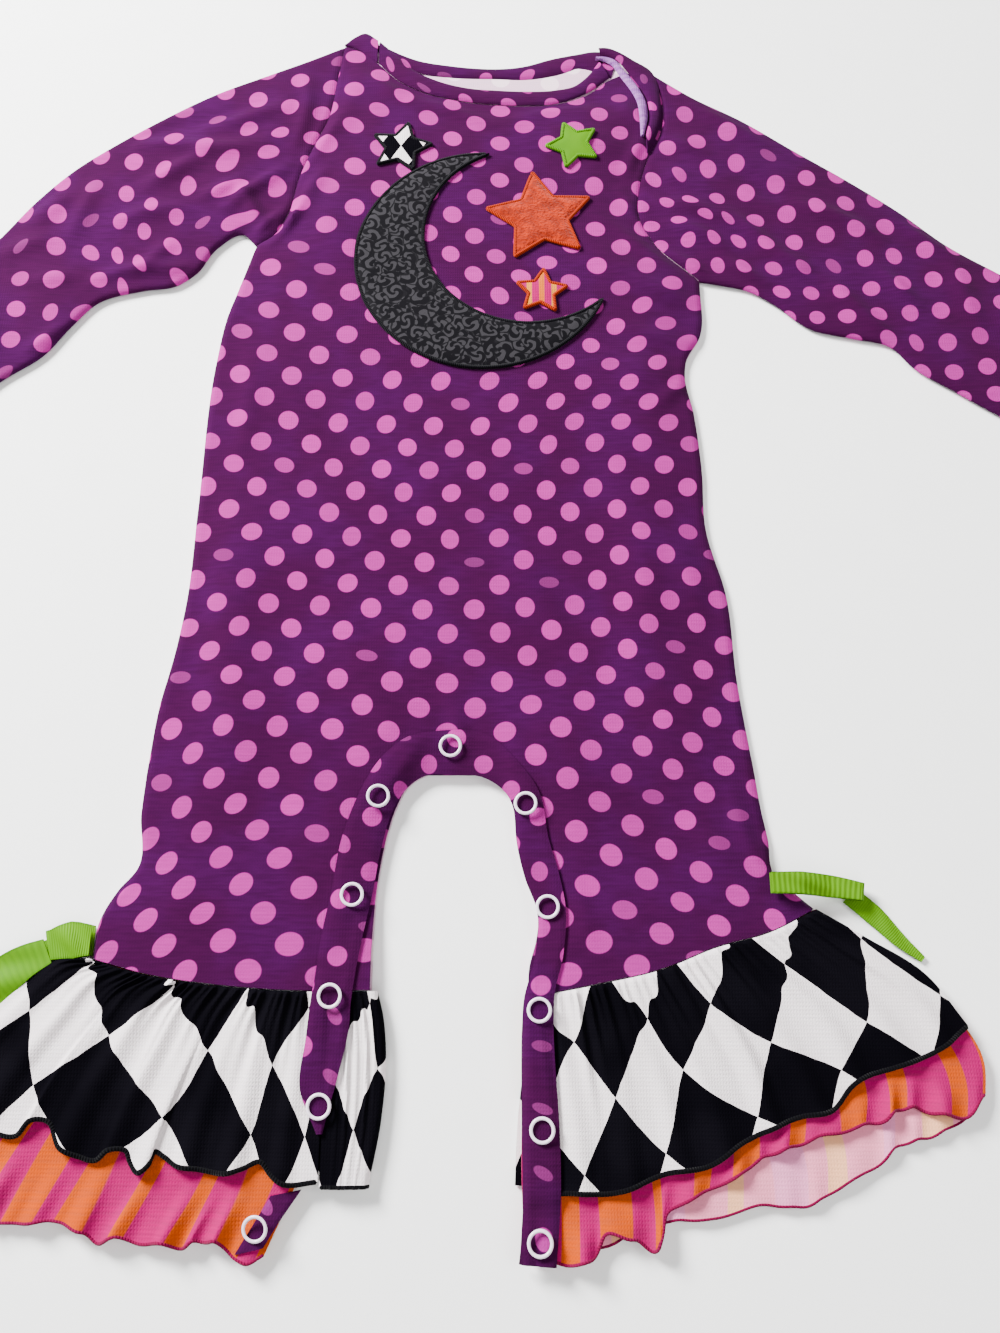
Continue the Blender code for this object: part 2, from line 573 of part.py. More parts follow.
def neck_trim(front):
    """Make the neck bands and the shoulder laps over the front."""
    band("neck_band_back", NECK_BACK_UPPER, NECK_BACK_LOWER, 18, 2, NECK_WALL, PURPLE, lambda x, y: 0.0)
    front_band = band("neck_band_front", NECK_FRONT_UPPER, NECK_FRONT_LOWER, 24, 2, NECK_WALL, PURPLE,
                      lambda x, y: NECK_WALL + SEAM_GAP)
    beneath = surface_of(front, front_band)

    def over(x, y):
        return top_over(beneath, x, y, 3.0, FRONT_SEAT + WALL) + SEAM_GAP

    lap_left = patch(line(LAP_LEFT_UPPER[0], LAP_LEFT_LOWER[0]), line(LAP_LEFT_UPPER[-1], LAP_LEFT_LOWER[-1]),
                     curve_through(LAP_LEFT_UPPER), curve_through(LAP_LEFT_LOWER))
    sheet("shoulder_lap_left", lambda u, v: (*lap_left(u, v), FRONT_SEAT), 8, 3, WALL, PURPLE)
    band("shoulder_lap_right", LAP_RIGHT_OUTER, LAP_RIGHT_INNER, 16, 2, TRIM_WALL, PURPLE, over)
    band("lap_edge_right", LAP_EDGE_OUTER, LAP_EDGE_INNER, 16, 2, TRIM_WALL, LAVENDER, over)


def wave(u, rows):
    """Add up the bumps of a gather table at a place along a ruffle."""
    height = 0.0
    for place, half_width, rise in rows:
        away = abs(u - place) / half_width
        if away < 1:
            height += rise * math.cos(0.5 * math.pi * away) ** 2
    return height


def ruffle(name, seam, side, hem, inner, rows_of_waves, level, columns, rows, colour, wave_from, flip):
    """Make one ruffle layer between the leg seam, its outer side, its hem and its inner side."""
    outer_curve = curve_through(side)
    inner_curve = curve_through(inner)
    hem_curve = curve_through(hem)
    if flip:
        plan = patch(inner_curve, outer_curve, seam, hem_curve)
    else:
        plan = patch(outer_curve, inner_curve, seam, hem_curve)

    def place(u, v):
        x, y = plan(u, v)
        swell = smooth_step((v - wave_from) / (1 - wave_from)) if v > wave_from else 0.0
        return x, y, level + wave(u, rows_of_waves) * swell

    return sheet(name, place, columns, rows, RUFFLE_WALL, colour)


def wrapped_ruffle(name, seam, side, hem, fold, colour):
    """Make the back ruffle of the left leg, whose end wraps over the inside of the leg to the front."""
    outer_curve = curve_through(side)
    fold_curve = curve_through(fold)
    flat = patch(outer_curve, fold_curve, seam, hem)
    low = 0.5 * RUFFLE_WALL
    high = HARLEQUIN_FRONT_LEVEL + 0.5 * RUFFLE_WALL
    radius = 0.5 * (high - low)
    flat_columns = HIDDEN_COLUMNS
    columns = flat_columns + WRAP_ARC_COLUMNS + WRAP_COLUMNS

    def place(u, v):
        k = u * columns
        if k <= flat_columns:
            x, y = flat(k / flat_columns, v)
            return x, y, low
        x, y = fold_curve(v)
        k -= flat_columns
        if k <= WRAP_ARC_COLUMNS:
            turn = math.pi * k / WRAP_ARC_COLUMNS
            return x + radius * math.sin(turn), y, low + radius * (1 - math.cos(turn))
        share = (k - WRAP_ARC_COLUMNS) / WRAP_COLUMNS
        pucker = 0.9 * v * math.sin(2 * math.pi * share) ** 2
        return x + share * (WRAP_END_X - x), y, high + pucker

    return sheet(name, place, columns, 6, RUFFLE_WALL, colour, offset=0.0)


def part_of(curve, first, last):
    """Give a stretch of a curve, as a curve of its own."""
    return lambda share: curve(first + share * (last - first))


def ruffles():
    """Make the four ruffle layers of each leg, from the surface up."""
    seam_left = moved(leg_hem_left, 0.0, -CUT_GAP)
    seam_right = moved(leg_hem_right, 0.0, -CUT_GAP)
    front_share = (WRAP_END_X - 0.6 - LEG_HEM_LEFT[0][0]) / (LEG_HEM_LEFT[-1][0] - LEG_HEM_LEFT[0][0])
    short_left = part_of(seam_left, 0.0, front_share)
    seam_end = tuple(short_left(1.0))
    hidden_hem_left = line(HARLEQUIN_HEM_LEFT[0], WRAP_FOLD[-1])
    wrapped_ruffle("harlequin_back_left", seam_left, starting(HARLEQUIN_SIDE_LEFT, seam_left(0.0)), hidden_hem_left,
                   starting(WRAP_FOLD, seam_left(1.0)), BLACK)
    inner_stripe = [seam_end, (-70, -160), (-75, -200), STRIPE_HEM_LEFT[-1]]
    stripe_side = starting(STRIPE_SIDE_LEFT, seam_left(0.0))
    ruffle("stripe_back_left", short_left, stripe_side, inset_hem(STRIPE_HEM_LEFT, 1.5), inner_stripe, [],
           STRIPE_BACK_LEVEL, HIDDEN_COLUMNS, 5, ORANGE, 0.9, False)
    ruffle("stripe_front_left", short_left, stripe_side, STRIPE_HEM_LEFT, inner_stripe, HEM_WAVES_LEFT,
           STRIPE_FRONT_LEVEL, STRIPE_COLUMNS, 6, ORANGE, 0.72, False)
    ruffle("harlequin_front_left", short_left, starting(HARLEQUIN_SIDE_LEFT, seam_left(0.0)), HARLEQUIN_HEM_LEFT,
           [seam_end, HARLEQUIN_HEM_LEFT[-1]], GATHERS_LEFT, HARLEQUIN_FRONT_LEVEL, RUFFLE_COLUMNS, 6,
           HARLEQUIN_WHITE, -0.3, False)
    start = tuple(seam_right(0.0))
    back_inner = [start, (10, -150), (6.5, -182), (5.5, -202)]
    back_hem = [(5.5, -202), (41, -203), (77, -193), (113, -177), (149, -160), (179, -146)]
    harlequin_side = starting(HARLEQUIN_SIDE_RIGHT, seam_right(1.0))
    ruffle("harlequin_back_right", seam_right, harlequin_side, back_hem, back_inner, [], 0.0, HIDDEN_COLUMNS, 5,
           BLACK, 0.9, True)
    stripe_side = starting(STRIPE_SIDE_RIGHT, seam_right(1.0))
    stripe_inner = [start, (9, -160), (8, -200), STRIPE_HEM_RIGHT[0]]
    ruffle("stripe_back_right", seam_right, stripe_side, STRIPE_BACK_HEM_RIGHT,
           stripe_inner[:-1] + [STRIPE_BACK_HEM_RIGHT[0]], [], STRIPE_BACK_LEVEL, 30, 4, ORANGE, 0.9, True)
    ruffle("stripe_front_right", seam_right, stripe_side, STRIPE_HEM_RIGHT, stripe_inner, HEM_WAVES_RIGHT,
           STRIPE_FRONT_LEVEL, STRIPE_COLUMNS, 6, ORANGE, 0.86, True)
    ruffle("harlequin_front_right", seam_right, harlequin_side, HARLEQUIN_HEM_RIGHT,
           [start, (12, -170), HARLEQUIN_HEM_RIGHT[0]], GATHERS_RIGHT, HARLEQUIN_FRONT_LEVEL, RUFFLE_COLUMNS, 6,
           HARLEQUIN_WHITE, -0.3, True)


def starting(points, first):
    """Start a side exactly at the seam's own end."""
    return [tuple(first)] + list(points[1:])


def inset_hem(points, amount):
    """Raise a hem a little, for the layer beneath."""
    return [(x, y + amount) for x, y in points]


def placket(beneath):
    """Lay the snap strip along the inside legs and over the ruffles."""
    inner = curve_through([row[:2] for row in PLACKET_ROWS])
    outer_rows = [row[2:] for row in PLACKET_ROWS]
    columns = 3 * (len(PLACKET_ROWS) - 1)
    inner_rows = [row[:2] for row in PLACKET_ROWS]

    def row_at(rows, u):
        k = u * (len(rows) - 1)
        return np.array([np.interp(k, range(len(rows)), [row[axis] for row in rows]) for axis in (0, 1)])

    def place(u, v):
        x, y = (1 - v) * row_at(inner_rows, u) + v * row_at(outer_rows, u)
        return x, y, top_over(beneath, x, y, PLACKET_REACH, FRONT_SEAT) + SEAM_GAP

    strip = sheet("placket", place, columns, PLACKET_STRIPS, TRIM_WALL, PURPLE)

    def end_place(u, v):
        near = row_at([row[:2] for row in PLACKET_END_ROWS], u)
        far = row_at([row[2:] for row in PLACKET_END_ROWS], u)
        x, y = (1 - v) * near + v * far
        return x, y, top_over(beneath[1:], x, y, 2.5, STRIPE_FRONT_LEVEL + RUFFLE_WALL) + SEAM_GAP

    end = sheet("placket_end_left", end_place, 5, 2, TRIM_WALL, PURPLE)
    return strip, end


def snap_rings(beneath):
    """Set one open ring of each snap on the placket."""
    middle_radius = 0.5 * (SNAP_OUTER - SNAP_WIRE)
    for number, (x, y) in enumerate(SNAPS, 1):
        seat = top_over(beneath, x, y, middle_radius, FRONT_SEAT)
        bpy.ops.mesh.primitive_torus_add(
            location=(x * MM, y * MM, (seat + SEAM_GAP + 0.5 * SNAP_WIRE) * MM),
            major_radius=middle_radius * MM, minor_radius=0.5 * SNAP_WIRE * MM,
            major_segments=16, minor_segments=5)
        ring = bpy.context.object
        ring.name = f"snap_ring_{number:02d}"
        ring.data.materials.append(cloth_finish(ring.name + "_finish", RING_WHITE, 0.35))
        ring.data.shade_smooth()
        ring.parent = laid_flat
        for collection in list(ring.users_collection):
            collection.objects.unlink(ring)
        romper.objects.link(ring)


def folded_ribbon(name, rows, rise, colour):
    """Make a ribbon that runs out low, folds at its end and comes back on top."""
    centre = curve_through([row[:2] for row in rows])
    shares = np.linspace(0, 1, len(rows))
    widths = [row[2] for row in rows]
    levels = [row[3] for row in rows]
    radius = 0.5 * rise
    run_columns = 6
    arc_columns = 4
    columns = 2 * run_columns + arc_columns

    def place(u, v):
        k = u * columns
        ahead = 0.0
        if k <= run_columns:
            along = k / run_columns
            lift = 0.0
        elif k <= run_columns + arc_columns:
            turn = math.pi * (k - run_columns) / arc_columns
            along = 1.0
            ahead = radius * math.sin(turn)
            lift = radius * (1 - math.cos(turn))
        else:
            along = 1 - (k - run_columns - arc_columns) / run_columns
            lift = rise
        here = centre(along)
        heading = centre(min(along + 0.01, 1.0)) - centre(min(along + 0.01, 1.0) - 0.01)
        heading /= np.linalg.norm(heading)
        sideways = np.array([-heading[1], heading[0]])
        width = np.interp(along, shares, widths)
        x, y = here + heading * ahead + sideways * (v - 0.5) * width
        return x, y, np.interp(along, shares, levels) + lift

    return sheet(name, place, columns, 3, TRIM_WALL, colour, offset=0.0)


def flat_ribbon(name, rows, colour):
    """Make a single ribbon end along its rows."""
    centre = curve_through([row[:2] for row in rows])
    shares = np.linspace(0, 1, len(rows))
    widths = [row[2] for row in rows]
    levels = [row[3] for row in rows]

    def place(u, v):
        here = centre(u)
        heading = centre(min(u + 0.01, 1.0)) - centre(min(u + 0.01, 1.0) - 0.01)
        heading /= np.linalg.norm(heading)
        sideways = np.array([-heading[1], heading[0]])
        x, y = here + sideways * (v - 0.5) * np.interp(u, shares, widths)
        return x, y, np.interp(u, shares, levels)

    return sheet(name, place, 8, 2, TRIM_WALL, colour, offset=0.0)


def bows():
    """Make the side bows at the leg hems."""
    folded_ribbon("bow_left_loop", BOW_LEFT_LOOP, BOW_RISE_LEFT, LIME)
    folded_ribbon("bow_left_tail", BOW_LEFT_TAIL, BOW_RISE_LEFT, LIME)
    folded_ribbon("bow_right_loop", BOW_RIGHT_LOOP, BOW_RISE_RIGHT, LIME)
    flat_ribbon("bow_right_tail", BOW_RIGHT_TAIL, LIME)


def crescent():
    """Draw the moon: the round outside, then the bay back to the start."""
    centre = np.array(MOON_CENTRE)
    bay = np.array(BAY_CENTRE)
    apart = np.linalg.norm(bay - centre)
    facing = math.atan2(*(bay - centre)[::-1])
    reach = (MOON_RADIUS ** 2 - BAY_RADIUS ** 2 + apart ** 2) / (2 * apart)
    outer_turn = math.acos(reach / MOON_RADIUS)
    bay_turn = math.acos((reach - apart) / BAY_RADIUS)
    outside = [facing + outer_turn + k / 22 * (2 * math.pi - 2 * outer_turn) for k in range(23)]
    inside = [facing - bay_turn - k / 16 * (2 * math.pi - 2 * bay_turn) for k in range(1, 16)]
    points = [centre + MOON_RADIUS * np.array([math.cos(turn), math.sin(turn)]) for turn in outside]
    points += [bay + BAY_RADIUS * np.array([math.cos(turn), math.sin(turn)]) for turn in inside]
    return points


def star(x, y, radius, turn):
    """Draw a five-pointed star."""
    points = []
    for k in range(10):
        reach = radius if k % 2 == 0 else radius * STAR_WAIST
        angle = math.radians(90 + turn + 36 * k)
        points.append((x + reach * math.cos(angle), y + reach * math.sin(angle)))
    return points


def applique(name, outline, beneath, colour):
    """Lay a cut shape on the chest, its points moved out from the panel's."""
    cut = bmesh.new()
    cut.faces.new([cut.verts.new((x, y, 0.0)) for x, y in outline])
    xs = [point[0] for point in outline]
    ys = [point[1] for point in outline]
    for axis, low, high in (((1, 0, 0), min(xs), max(xs)), ((0, 1, 0), min(ys), max(ys))):
        count = max(1, round((high - low) / APPLIQUE_CELL))
        for k in range(1, count):
            spot = Vector(axis) * (low + k / count * (high - low))
            whole = cut.verts[:] + cut.edges[:] + cut.faces[:]
            bmesh.ops.bisect_plane(cut, geom=whole, dist=1e-4, plane_co=spot, plane_no=axis)
    bmesh.ops.triangulate(cut, faces=cut.faces[:])
    for vert in cut.verts:
        x, y = vert.co.x, vert.co.y
        vert.co = Vector((x, y, top_over(beneath, x, y, 4.0, FRONT_SEAT) + SEAM_GAP)) * MM
    cut.normal_update()
    if sum(face.normal.z for face in cut.faces) < 0:
        bmesh.ops.reverse_faces(cut, faces=cut.faces)
    mesh_data = bpy.data.meshes.new(name)
    cut.to_mesh(mesh_data)
    cut.free()
    piece = add_piece(name, mesh_data, colour)
    thicken(piece, TRIM_WALL, 1.0)


def chest_applique(beneath):
    """Lay the moon and the stars on the chest."""
    colours = {"star_orange": ORANGE, "star_harlequin": HARLEQUIN_WHITE, "star_lime": LIME,
               "star_striped": MAGENTA}
    applique("moon_damask", crescent(), beneath, BLACK)
    for name, place in STARS.items():
        applique(name, star(*place), beneath, colours[name])


for old in list(bpy.data.objects):
    bpy.data.objects.remove(old)
romper = bpy.data.collections.new("romper")
bpy.context.scene.collection.children.link(romper)
laid_flat = bpy.data.objects.new("laid_flat", None)
romper.objects.link(laid_flat)

back_body()
front = front_body()
sleeves()
neck_trim(front)
ruffles()
bows()
named = bpy.data.objects
leg_layers = [named[name] for name in (
    "front_body", "harlequin_front_left", "harlequin_front_right", "harlequin_back_left", "stripe_front_left",
    "stripe_front_right", "stripe_back_right")]
strip, strip_end = placket(surface_of(*leg_layers))
snap_rings(surface_of(strip, strip_end))
chest_applique(surface_of(front))
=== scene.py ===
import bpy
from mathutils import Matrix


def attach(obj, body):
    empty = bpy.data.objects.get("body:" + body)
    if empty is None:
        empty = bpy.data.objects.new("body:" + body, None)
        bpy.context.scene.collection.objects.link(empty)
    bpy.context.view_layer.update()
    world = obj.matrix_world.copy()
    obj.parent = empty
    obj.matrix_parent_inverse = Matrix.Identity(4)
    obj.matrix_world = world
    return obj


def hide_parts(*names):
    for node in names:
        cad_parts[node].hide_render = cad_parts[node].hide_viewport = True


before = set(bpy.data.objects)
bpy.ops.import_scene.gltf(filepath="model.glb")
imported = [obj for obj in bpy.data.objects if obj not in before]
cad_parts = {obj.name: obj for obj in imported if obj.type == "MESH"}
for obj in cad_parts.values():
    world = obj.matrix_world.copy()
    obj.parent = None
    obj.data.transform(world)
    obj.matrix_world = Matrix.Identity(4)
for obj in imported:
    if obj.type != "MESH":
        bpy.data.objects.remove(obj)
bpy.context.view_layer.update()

import math

import bpy
import numpy as np
from mathutils import Vector
from mathutils.bvhtree import BVHTree

# ---- The table top, the light and the camera ----
# The romper lies flat on a plain pale table. The camera leans in from the hem side, eighteen
# degrees off straight down. One strong soft lamp stands at the upper left, and two weak ones fill in.
MM = 0.001
CAMERA_PLACE = (0.0, -0.1395, 0.4294)
CAMERA_TILT = math.radians(18.0)
CAMERA_LENS = 28.36
CAMERA_NEAR = 0.01
# Each lamp: its place, its size and its power
SOFT_LIGHTS = [((-1.00, 0.85, 0.80), 0.5, 138.0), ((0.85, -0.10, 1.00), 0.7, 9.0),
               ((-0.10, -0.85, 1.20), 0.8, 9.0)]
ROOM_COLOUR = (1.0, 0.99, 0.98, 1.0)
ROOM_STRENGTH = 0.40
TABLE_SIZE = 6.0
TABLE_LEVEL = -0.0006
TABLE_PALE = (0.95, 0.95, 0.945, 1.0)
TABLE_DARKER = (0.92, 0.92, 0.915, 1.0)


def add_node(tree, kind, sockets=None, **settings):
    """Place a shader node, set it, and join or fill its sockets."""
    node = tree.nodes.new("ShaderNode" + kind)
    for label, value in settings.items():
        setattr(node, label, value)
    for label, value in (sockets or {}).items():
        if isinstance(value, bpy.types.NodeSocket):
            tree.links.new(value, node.inputs[label])
        else:
            node.inputs[label].default_value = value
    return node


def blended(tree, share, first, second):
    """Mix two colours by a share."""
    return add_node(tree, "Mix", {0: share, 6: first, 7: second}, data_type="RGBA").outputs[2]


def new_finish(name, colour, roughness, sheen=0.0, gloss=0.01):
    """Start a material with its shader set."""
    finish = bpy.data.materials.new(name)
    finish.use_nodes = True
    shader = finish.node_tree.nodes["Principled BSDF"]
    shader.inputs["Base Color"].default_value = (*colour[:3], 1.0)
    shader.inputs["Roughness"].default_value = roughness
    shader.inputs["Sheen Weight"].default_value = sheen
    shader.inputs["Specular IOR Level"].default_value = gloss
    return finish, finish.node_tree, shader


def dress(tree, shader, colour, height=None, strength=0.3, depth=0.0004):
    """Join a colour to a shader, and where there is a height, a bump of so much strength and depth."""
    tree.links.new(colour, shader.inputs["Base Color"])
    if height is not None:
        bump = add_node(tree, "Bump", {"Strength": strength, "Distance": depth, "Height": height})
        tree.links.new(bump.outputs[0], shader.inputs["Normal"])


bpy.ops.object.select_all(action="DESELECT")
bpy.ops.object.camera_add(location=CAMERA_PLACE, rotation=(CAMERA_TILT, 0.0, 0.0))
camera = bpy.context.object
camera.data.lens = CAMERA_LENS
camera.data.clip_start = CAMERA_NEAR
bpy.context.scene.camera = camera

for place, size, power in SOFT_LIGHTS:
    bpy.ops.object.light_add(type="AREA", location=place)
    lamp = bpy.context.object
    lamp.rotation_euler = Vector(place).to_track_quat("Z", "Y").to_euler()
    lamp.data.size = size
    lamp.data.energy = power

room = bpy.data.worlds.new("soft_room")
room.use_nodes = True
room_light = room.node_tree.nodes["Background"].inputs
room_light["Color"].default_value = ROOM_COLOUR
room_light["Strength"].default_value = ROOM_STRENGTH
bpy.context.scene.world = room

bpy.ops.mesh.primitive_plane_add(size=TABLE_SIZE, location=(0.0, 0.0, TABLE_LEVEL))
table_top = bpy.context.object
table_top.name = "table_top"
table_finish, tree, shader = new_finish("pale_table", TABLE_PALE, 0.75)
grain = add_node(tree, "TexNoise", {"Scale": 45.0, "Vector": add_node(tree, "TexCoord").outputs["Object"]})
dress(tree, shader, blended(tree, grain.outputs[0], TABLE_PALE, TABLE_DARKER))
table_top.data.materials.append(table_finish)

# ---- The back of the body ----
# One piece of printed cotton jersey, cut like the front but higher at the neck, lying flat on the
# table with its wrong side up. It shows inside the neck, where the dye comes through pale.
WALL = 1.2
SEAM_GAP = 0.3
# Which way a wall goes from the face that is modelled
INWARDS, BOTH_WAYS, OUTWARDS = -1.0, 0.0, 1.0
TINY = 1e-9
ARMHOLE_LEFT = [(-82, 344), (-85, 320), (-88, 297), (-95, 278), (-101, 259), (-106, 234), (-111, 224), (-120, 217)]
ARMHOLE_RIGHT = [(79, 326), (84, 307), (82, 286), (75, 270), (70, 252), (69, 234), (76, 218), (97, 196)]
SIDE_LEFT = [(-120, 217), (-126, 194), (-131, 175), (-134, 151), (-136, 73), (-137, 29), (-140, 4), (-144, -18),
             (-146.5, -47.5)]
SIDE_RIGHT = [(97, 196), (95, 164), (88, 151), (87, 144), (90, 123), (92, 94), (92, 64), (99, 32), (101, -7),
              (105.5, -47.5)]
LEG_OUTER_LEFT = [(-146.5, -47.5), (-147, -64), (-146, -86), (-153, -95), (-159, -107), (-160, -121)]
LEG_OUTER_RIGHT = [(105.5, -47.5), (107, -62), (109, -75), (110, -88), (118, -96), (125, -102)]
NOTCH_LEFT = [(-30, -47.5), (-37, -52), (-42, -61), (-46, -75), (-48, -86), (-50, -114), (-50, -133)]
NOTCH_RIGHT = [(-9, -47.5), (2, -54), (6, -61), (7, -75), (10, -89), (15, -104), (14, -114), (11, -125),
               (10.5, -136)]
LEG_HEM_LEFT = [(-160, -121), (-137, -127), (-109, -131), (-80, -133), (-50, -133)]
LEG_HEM_RIGHT = [(10.5, -136), (20, -134), (41, -130), (63, -125), (84, -117), (106, -111), (125, -102)]
BACK_TOP = [(-82, 344), (-76, 350.5), (-71, 352.5), (-62, 344), (-45, 327.5), (-26, 324), (-2, 323), (14, 322.6),
            (31, 326), (45, 333), (55, 340), (62, 339), (71, 332.5), (79, 326)]
BACK_COLUMNS = 84
BACK_ROWS = 150
ARCH_SHARE = (0.4623, 0.5456)
ZONE_ENDS = (0.27, 0.82)
CROTCH_WIDTH = SIDE_RIGHT[-1][0] - SIDE_LEFT[-1][0]
NOTCH_FROM = (NOTCH_LEFT[0][0] - SIDE_LEFT[-1][0]) / CROTCH_WIDTH
NOTCH_TO = (NOTCH_RIGHT[0][0] - SIDE_LEFT[-1][0]) / CROTCH_WIDTH
# How plan places are scaled in a print's chart, and how loosely it follows its rows
CHART_SCALE = 100
CHART_SLACK = 2e-4
# The dot print over the body: plan x and y, then repeats across and repeats up
PRINT_REPEAT = (22.6, 21.9)
BODY_PRINT = [
    (-60, 325, -1.90, 12.1), (-10, 310, 0.10, 11.9), (26, 298, 1.5, 11.5), (51, 296, 2.5, 11.5), (90, 310, 4.40, 12.0),
    (-75, 290, -2.5, 10.5), (0, 278, 0.5, 10.5), (24, 278, 1.5, 10.5), (61, 284, 3.0, 11.0), (-102, 266, -3.5, 9.5),
    (-73, 264, -2.5, 9.5), (12, 264, 1.0, 10.0), (36, 265, 2.0, 10.0), (90, 260, 4.40, 9.90), (-86, 252, -3.0, 9.0),
    (24, 251, 1.5, 9.5), (47, 252, 2.5, 9.5), (11, 243, 1.0, 9.0), (35, 237, 2.0, 9.0), (59, 239, 3.0, 9.0),
    (0, 231, 0.5, 8.5), (23, 228, 1.5, 8.5), (47, 225, 2.5, 8.5), (11, 217, 1.0, 8.0), (35, 215, 2.0, 8.0),
    (59, 214, 3.0, 8.0), (-2, 209, 0.5, 7.5), (23, 205, 1.5, 7.5), (47, 203, 2.5, 7.5), (10, 197, 1.0, 7.0),
    (34, 194, 2.0, 7.0), (58, 190, 3.0, 7.0), (0, 186, 0.5, 6.5), (22, 183, 1.5, 6.5), (45, 180, 2.5, 6.5),
    (68, 181, 3.5, 6.5), (22, 162, 1.5, 5.5), (43, 158, 2.5, 5.5), (-110, 190, -3.95, 6.47), (-60, 190, -2.03, 6.60),
    (90, 185, 4.30, 6.60), (-110, 120, -4.03, 3.55), (-60, 120, -1.86, 3.66), (-10, 120, 0.43, 3.72),
    (40, 120, 2.75, 3.62), (90, 120, 5.02, 3.62), (-110, 50, -3.98, 0.50), (-60, 50, -1.72, 0.59),
    (-10, 50, 0.56, 0.64), (40, 50, 2.89, 0.52), (90, 50, 5.30, 0.45), (-110, -20, -3.78, -2.67),
    (-60, -20, -1.59, -2.57), (-10, -20, 0.52, -2.52), (40, -20, 2.69, -2.68), (90, -20, 5.07, -2.84),
    (-150, -80, -5.31, -5.21), (-110, -80, -3.42, -5.42),
    (-60, -80, -1.42, -5.30), (40, -80, 2.31, -5.43), (90, -80, 4.53, -5.68), (-150, -120, -4.83, -7.06),
    (-110, -120, -3.01, -7.25), (-60, -120, -1.21, -7.10), (40, -120, 2.01, -7.23), (90, -120, 4.05, -7.54)]
DOT_RADIUS = 4.55
PURPLE = (0.03, 0.0016, 0.0255, 1.0)
PURPLE_BLUER = (0.037, 0.002, 0.05, 1.0)
PURPLE_DEEP = (0.019, 0.0012, 0.017, 1.0)
DOT_PINK = (0.315, 0.0165, 0.195, 1.0)
# The greyed pink of the dots: painted shade on the squashed dots in wrinkles, and a little random fading
DOT_FADE_AND_SHADE = (0.098, 0.0125, 0.073, 1.0)
INSIDE_PALE = (0.6, 0.38, 0.5, 1.0)
INSIDE_STREAK = (0.50, 0.36, 0.50, 1.0)
INSIDE_DOT = (0.74, 0.56, 0.64, 1.0)


def smooth(share):
    """Ease shares from 0 to 1."""
    share = np.clip(share, 0.0, 1.0)
    return share * share * (3 - 2 * share)


def steps_of(points):
    """Measure the steps from each point of a line to the next."""
    return np.linalg.norm(np.diff(points, axis=0), axis=1)


def curve_through(points):
    """Give a smooth curve through points, by shares from 0 to 1."""
    rows = np.array(points, float)
    steps = steps_of(rows)
    along = np.concatenate([[0.0], np.cumsum(steps)]) / steps.sum()
    slopes = np.gradient(rows, along, axis=0)

    def at(share):
        share = np.asarray(share, float)
        k = np.clip(np.searchsorted(along, share) - 1, 0, len(rows) - 2)
        span = (along[k + 1] - along[k])[..., None]
        t = (share - along[k])[..., None] / span
        start = (1 + 2 * t) * (1 - t) ** 2 * rows[k] + t * (1 - t) ** 2 * span * slopes[k]
        end = t * t * (3 - 2 * t) * rows[k + 1] - t * t * (1 - t) * span * slopes[k + 1]
        return start + end

    return at


def straight(first, last):
    """Give a straight line between two points."""
    first, last = np.array(first, float), np.array(last, float)
    return lambda share: first + np.asarray(share, float)[..., None] * (last - first)


def moved(curve, dx, dy):
    """Give a curve shifted in plan."""
    return lambda share: curve(share) + np.array([dx, dy])


def patch(start, end, low, high, fade=1):
    """Blend four curves: low and high run with u, start and end with v, and fade says how soon the start's
    bend is lost."""
    def at(u, v):
        u, v = np.asarray(u, float), np.asarray(v, float)
        zero, one = np.zeros_like(u), np.ones_like(u)
        across = (1 - v)[..., None] * low(u) + v[..., None] * high(u)
        first = (1 - v)[..., None] * low(zero) + v[..., None] * high(zero)
        last = (1 - v)[..., None] * low(one) + v[..., None] * high(one)
        return across + ((1 - u) ** fade)[..., None] * (start(v) - first) + u[..., None] * (end(v) - last)

    return at


def charted(anchors):
    """Give a print's own place at plan points, from a chart of plan x and y and the print's across and up."""
    rows = np.array(anchors, float)
    spots, values = rows[:, :2] / CHART_SCALE, rows[:, 2:]
    count = len(rows)

    def bend(here):
        away = np.linalg.norm(here[:, None] - spots[None], axis=2)
        return np.c_[away ** 2 * np.log(away + TINY), np.ones(len(here)), here]

    system = np.zeros((count + 3, count + 3))
    system[:count] = bend(spots)
    system[:count, :count] += CHART_SLACK * np.eye(count)
    system[count:, :count] = system[:count, count:].T
    weights = np.linalg.solve(system, np.r_[values, np.zeros((3, 2))])
    return lambda plan: bend(np.asarray(plan, float) / CHART_SCALE) @ weights


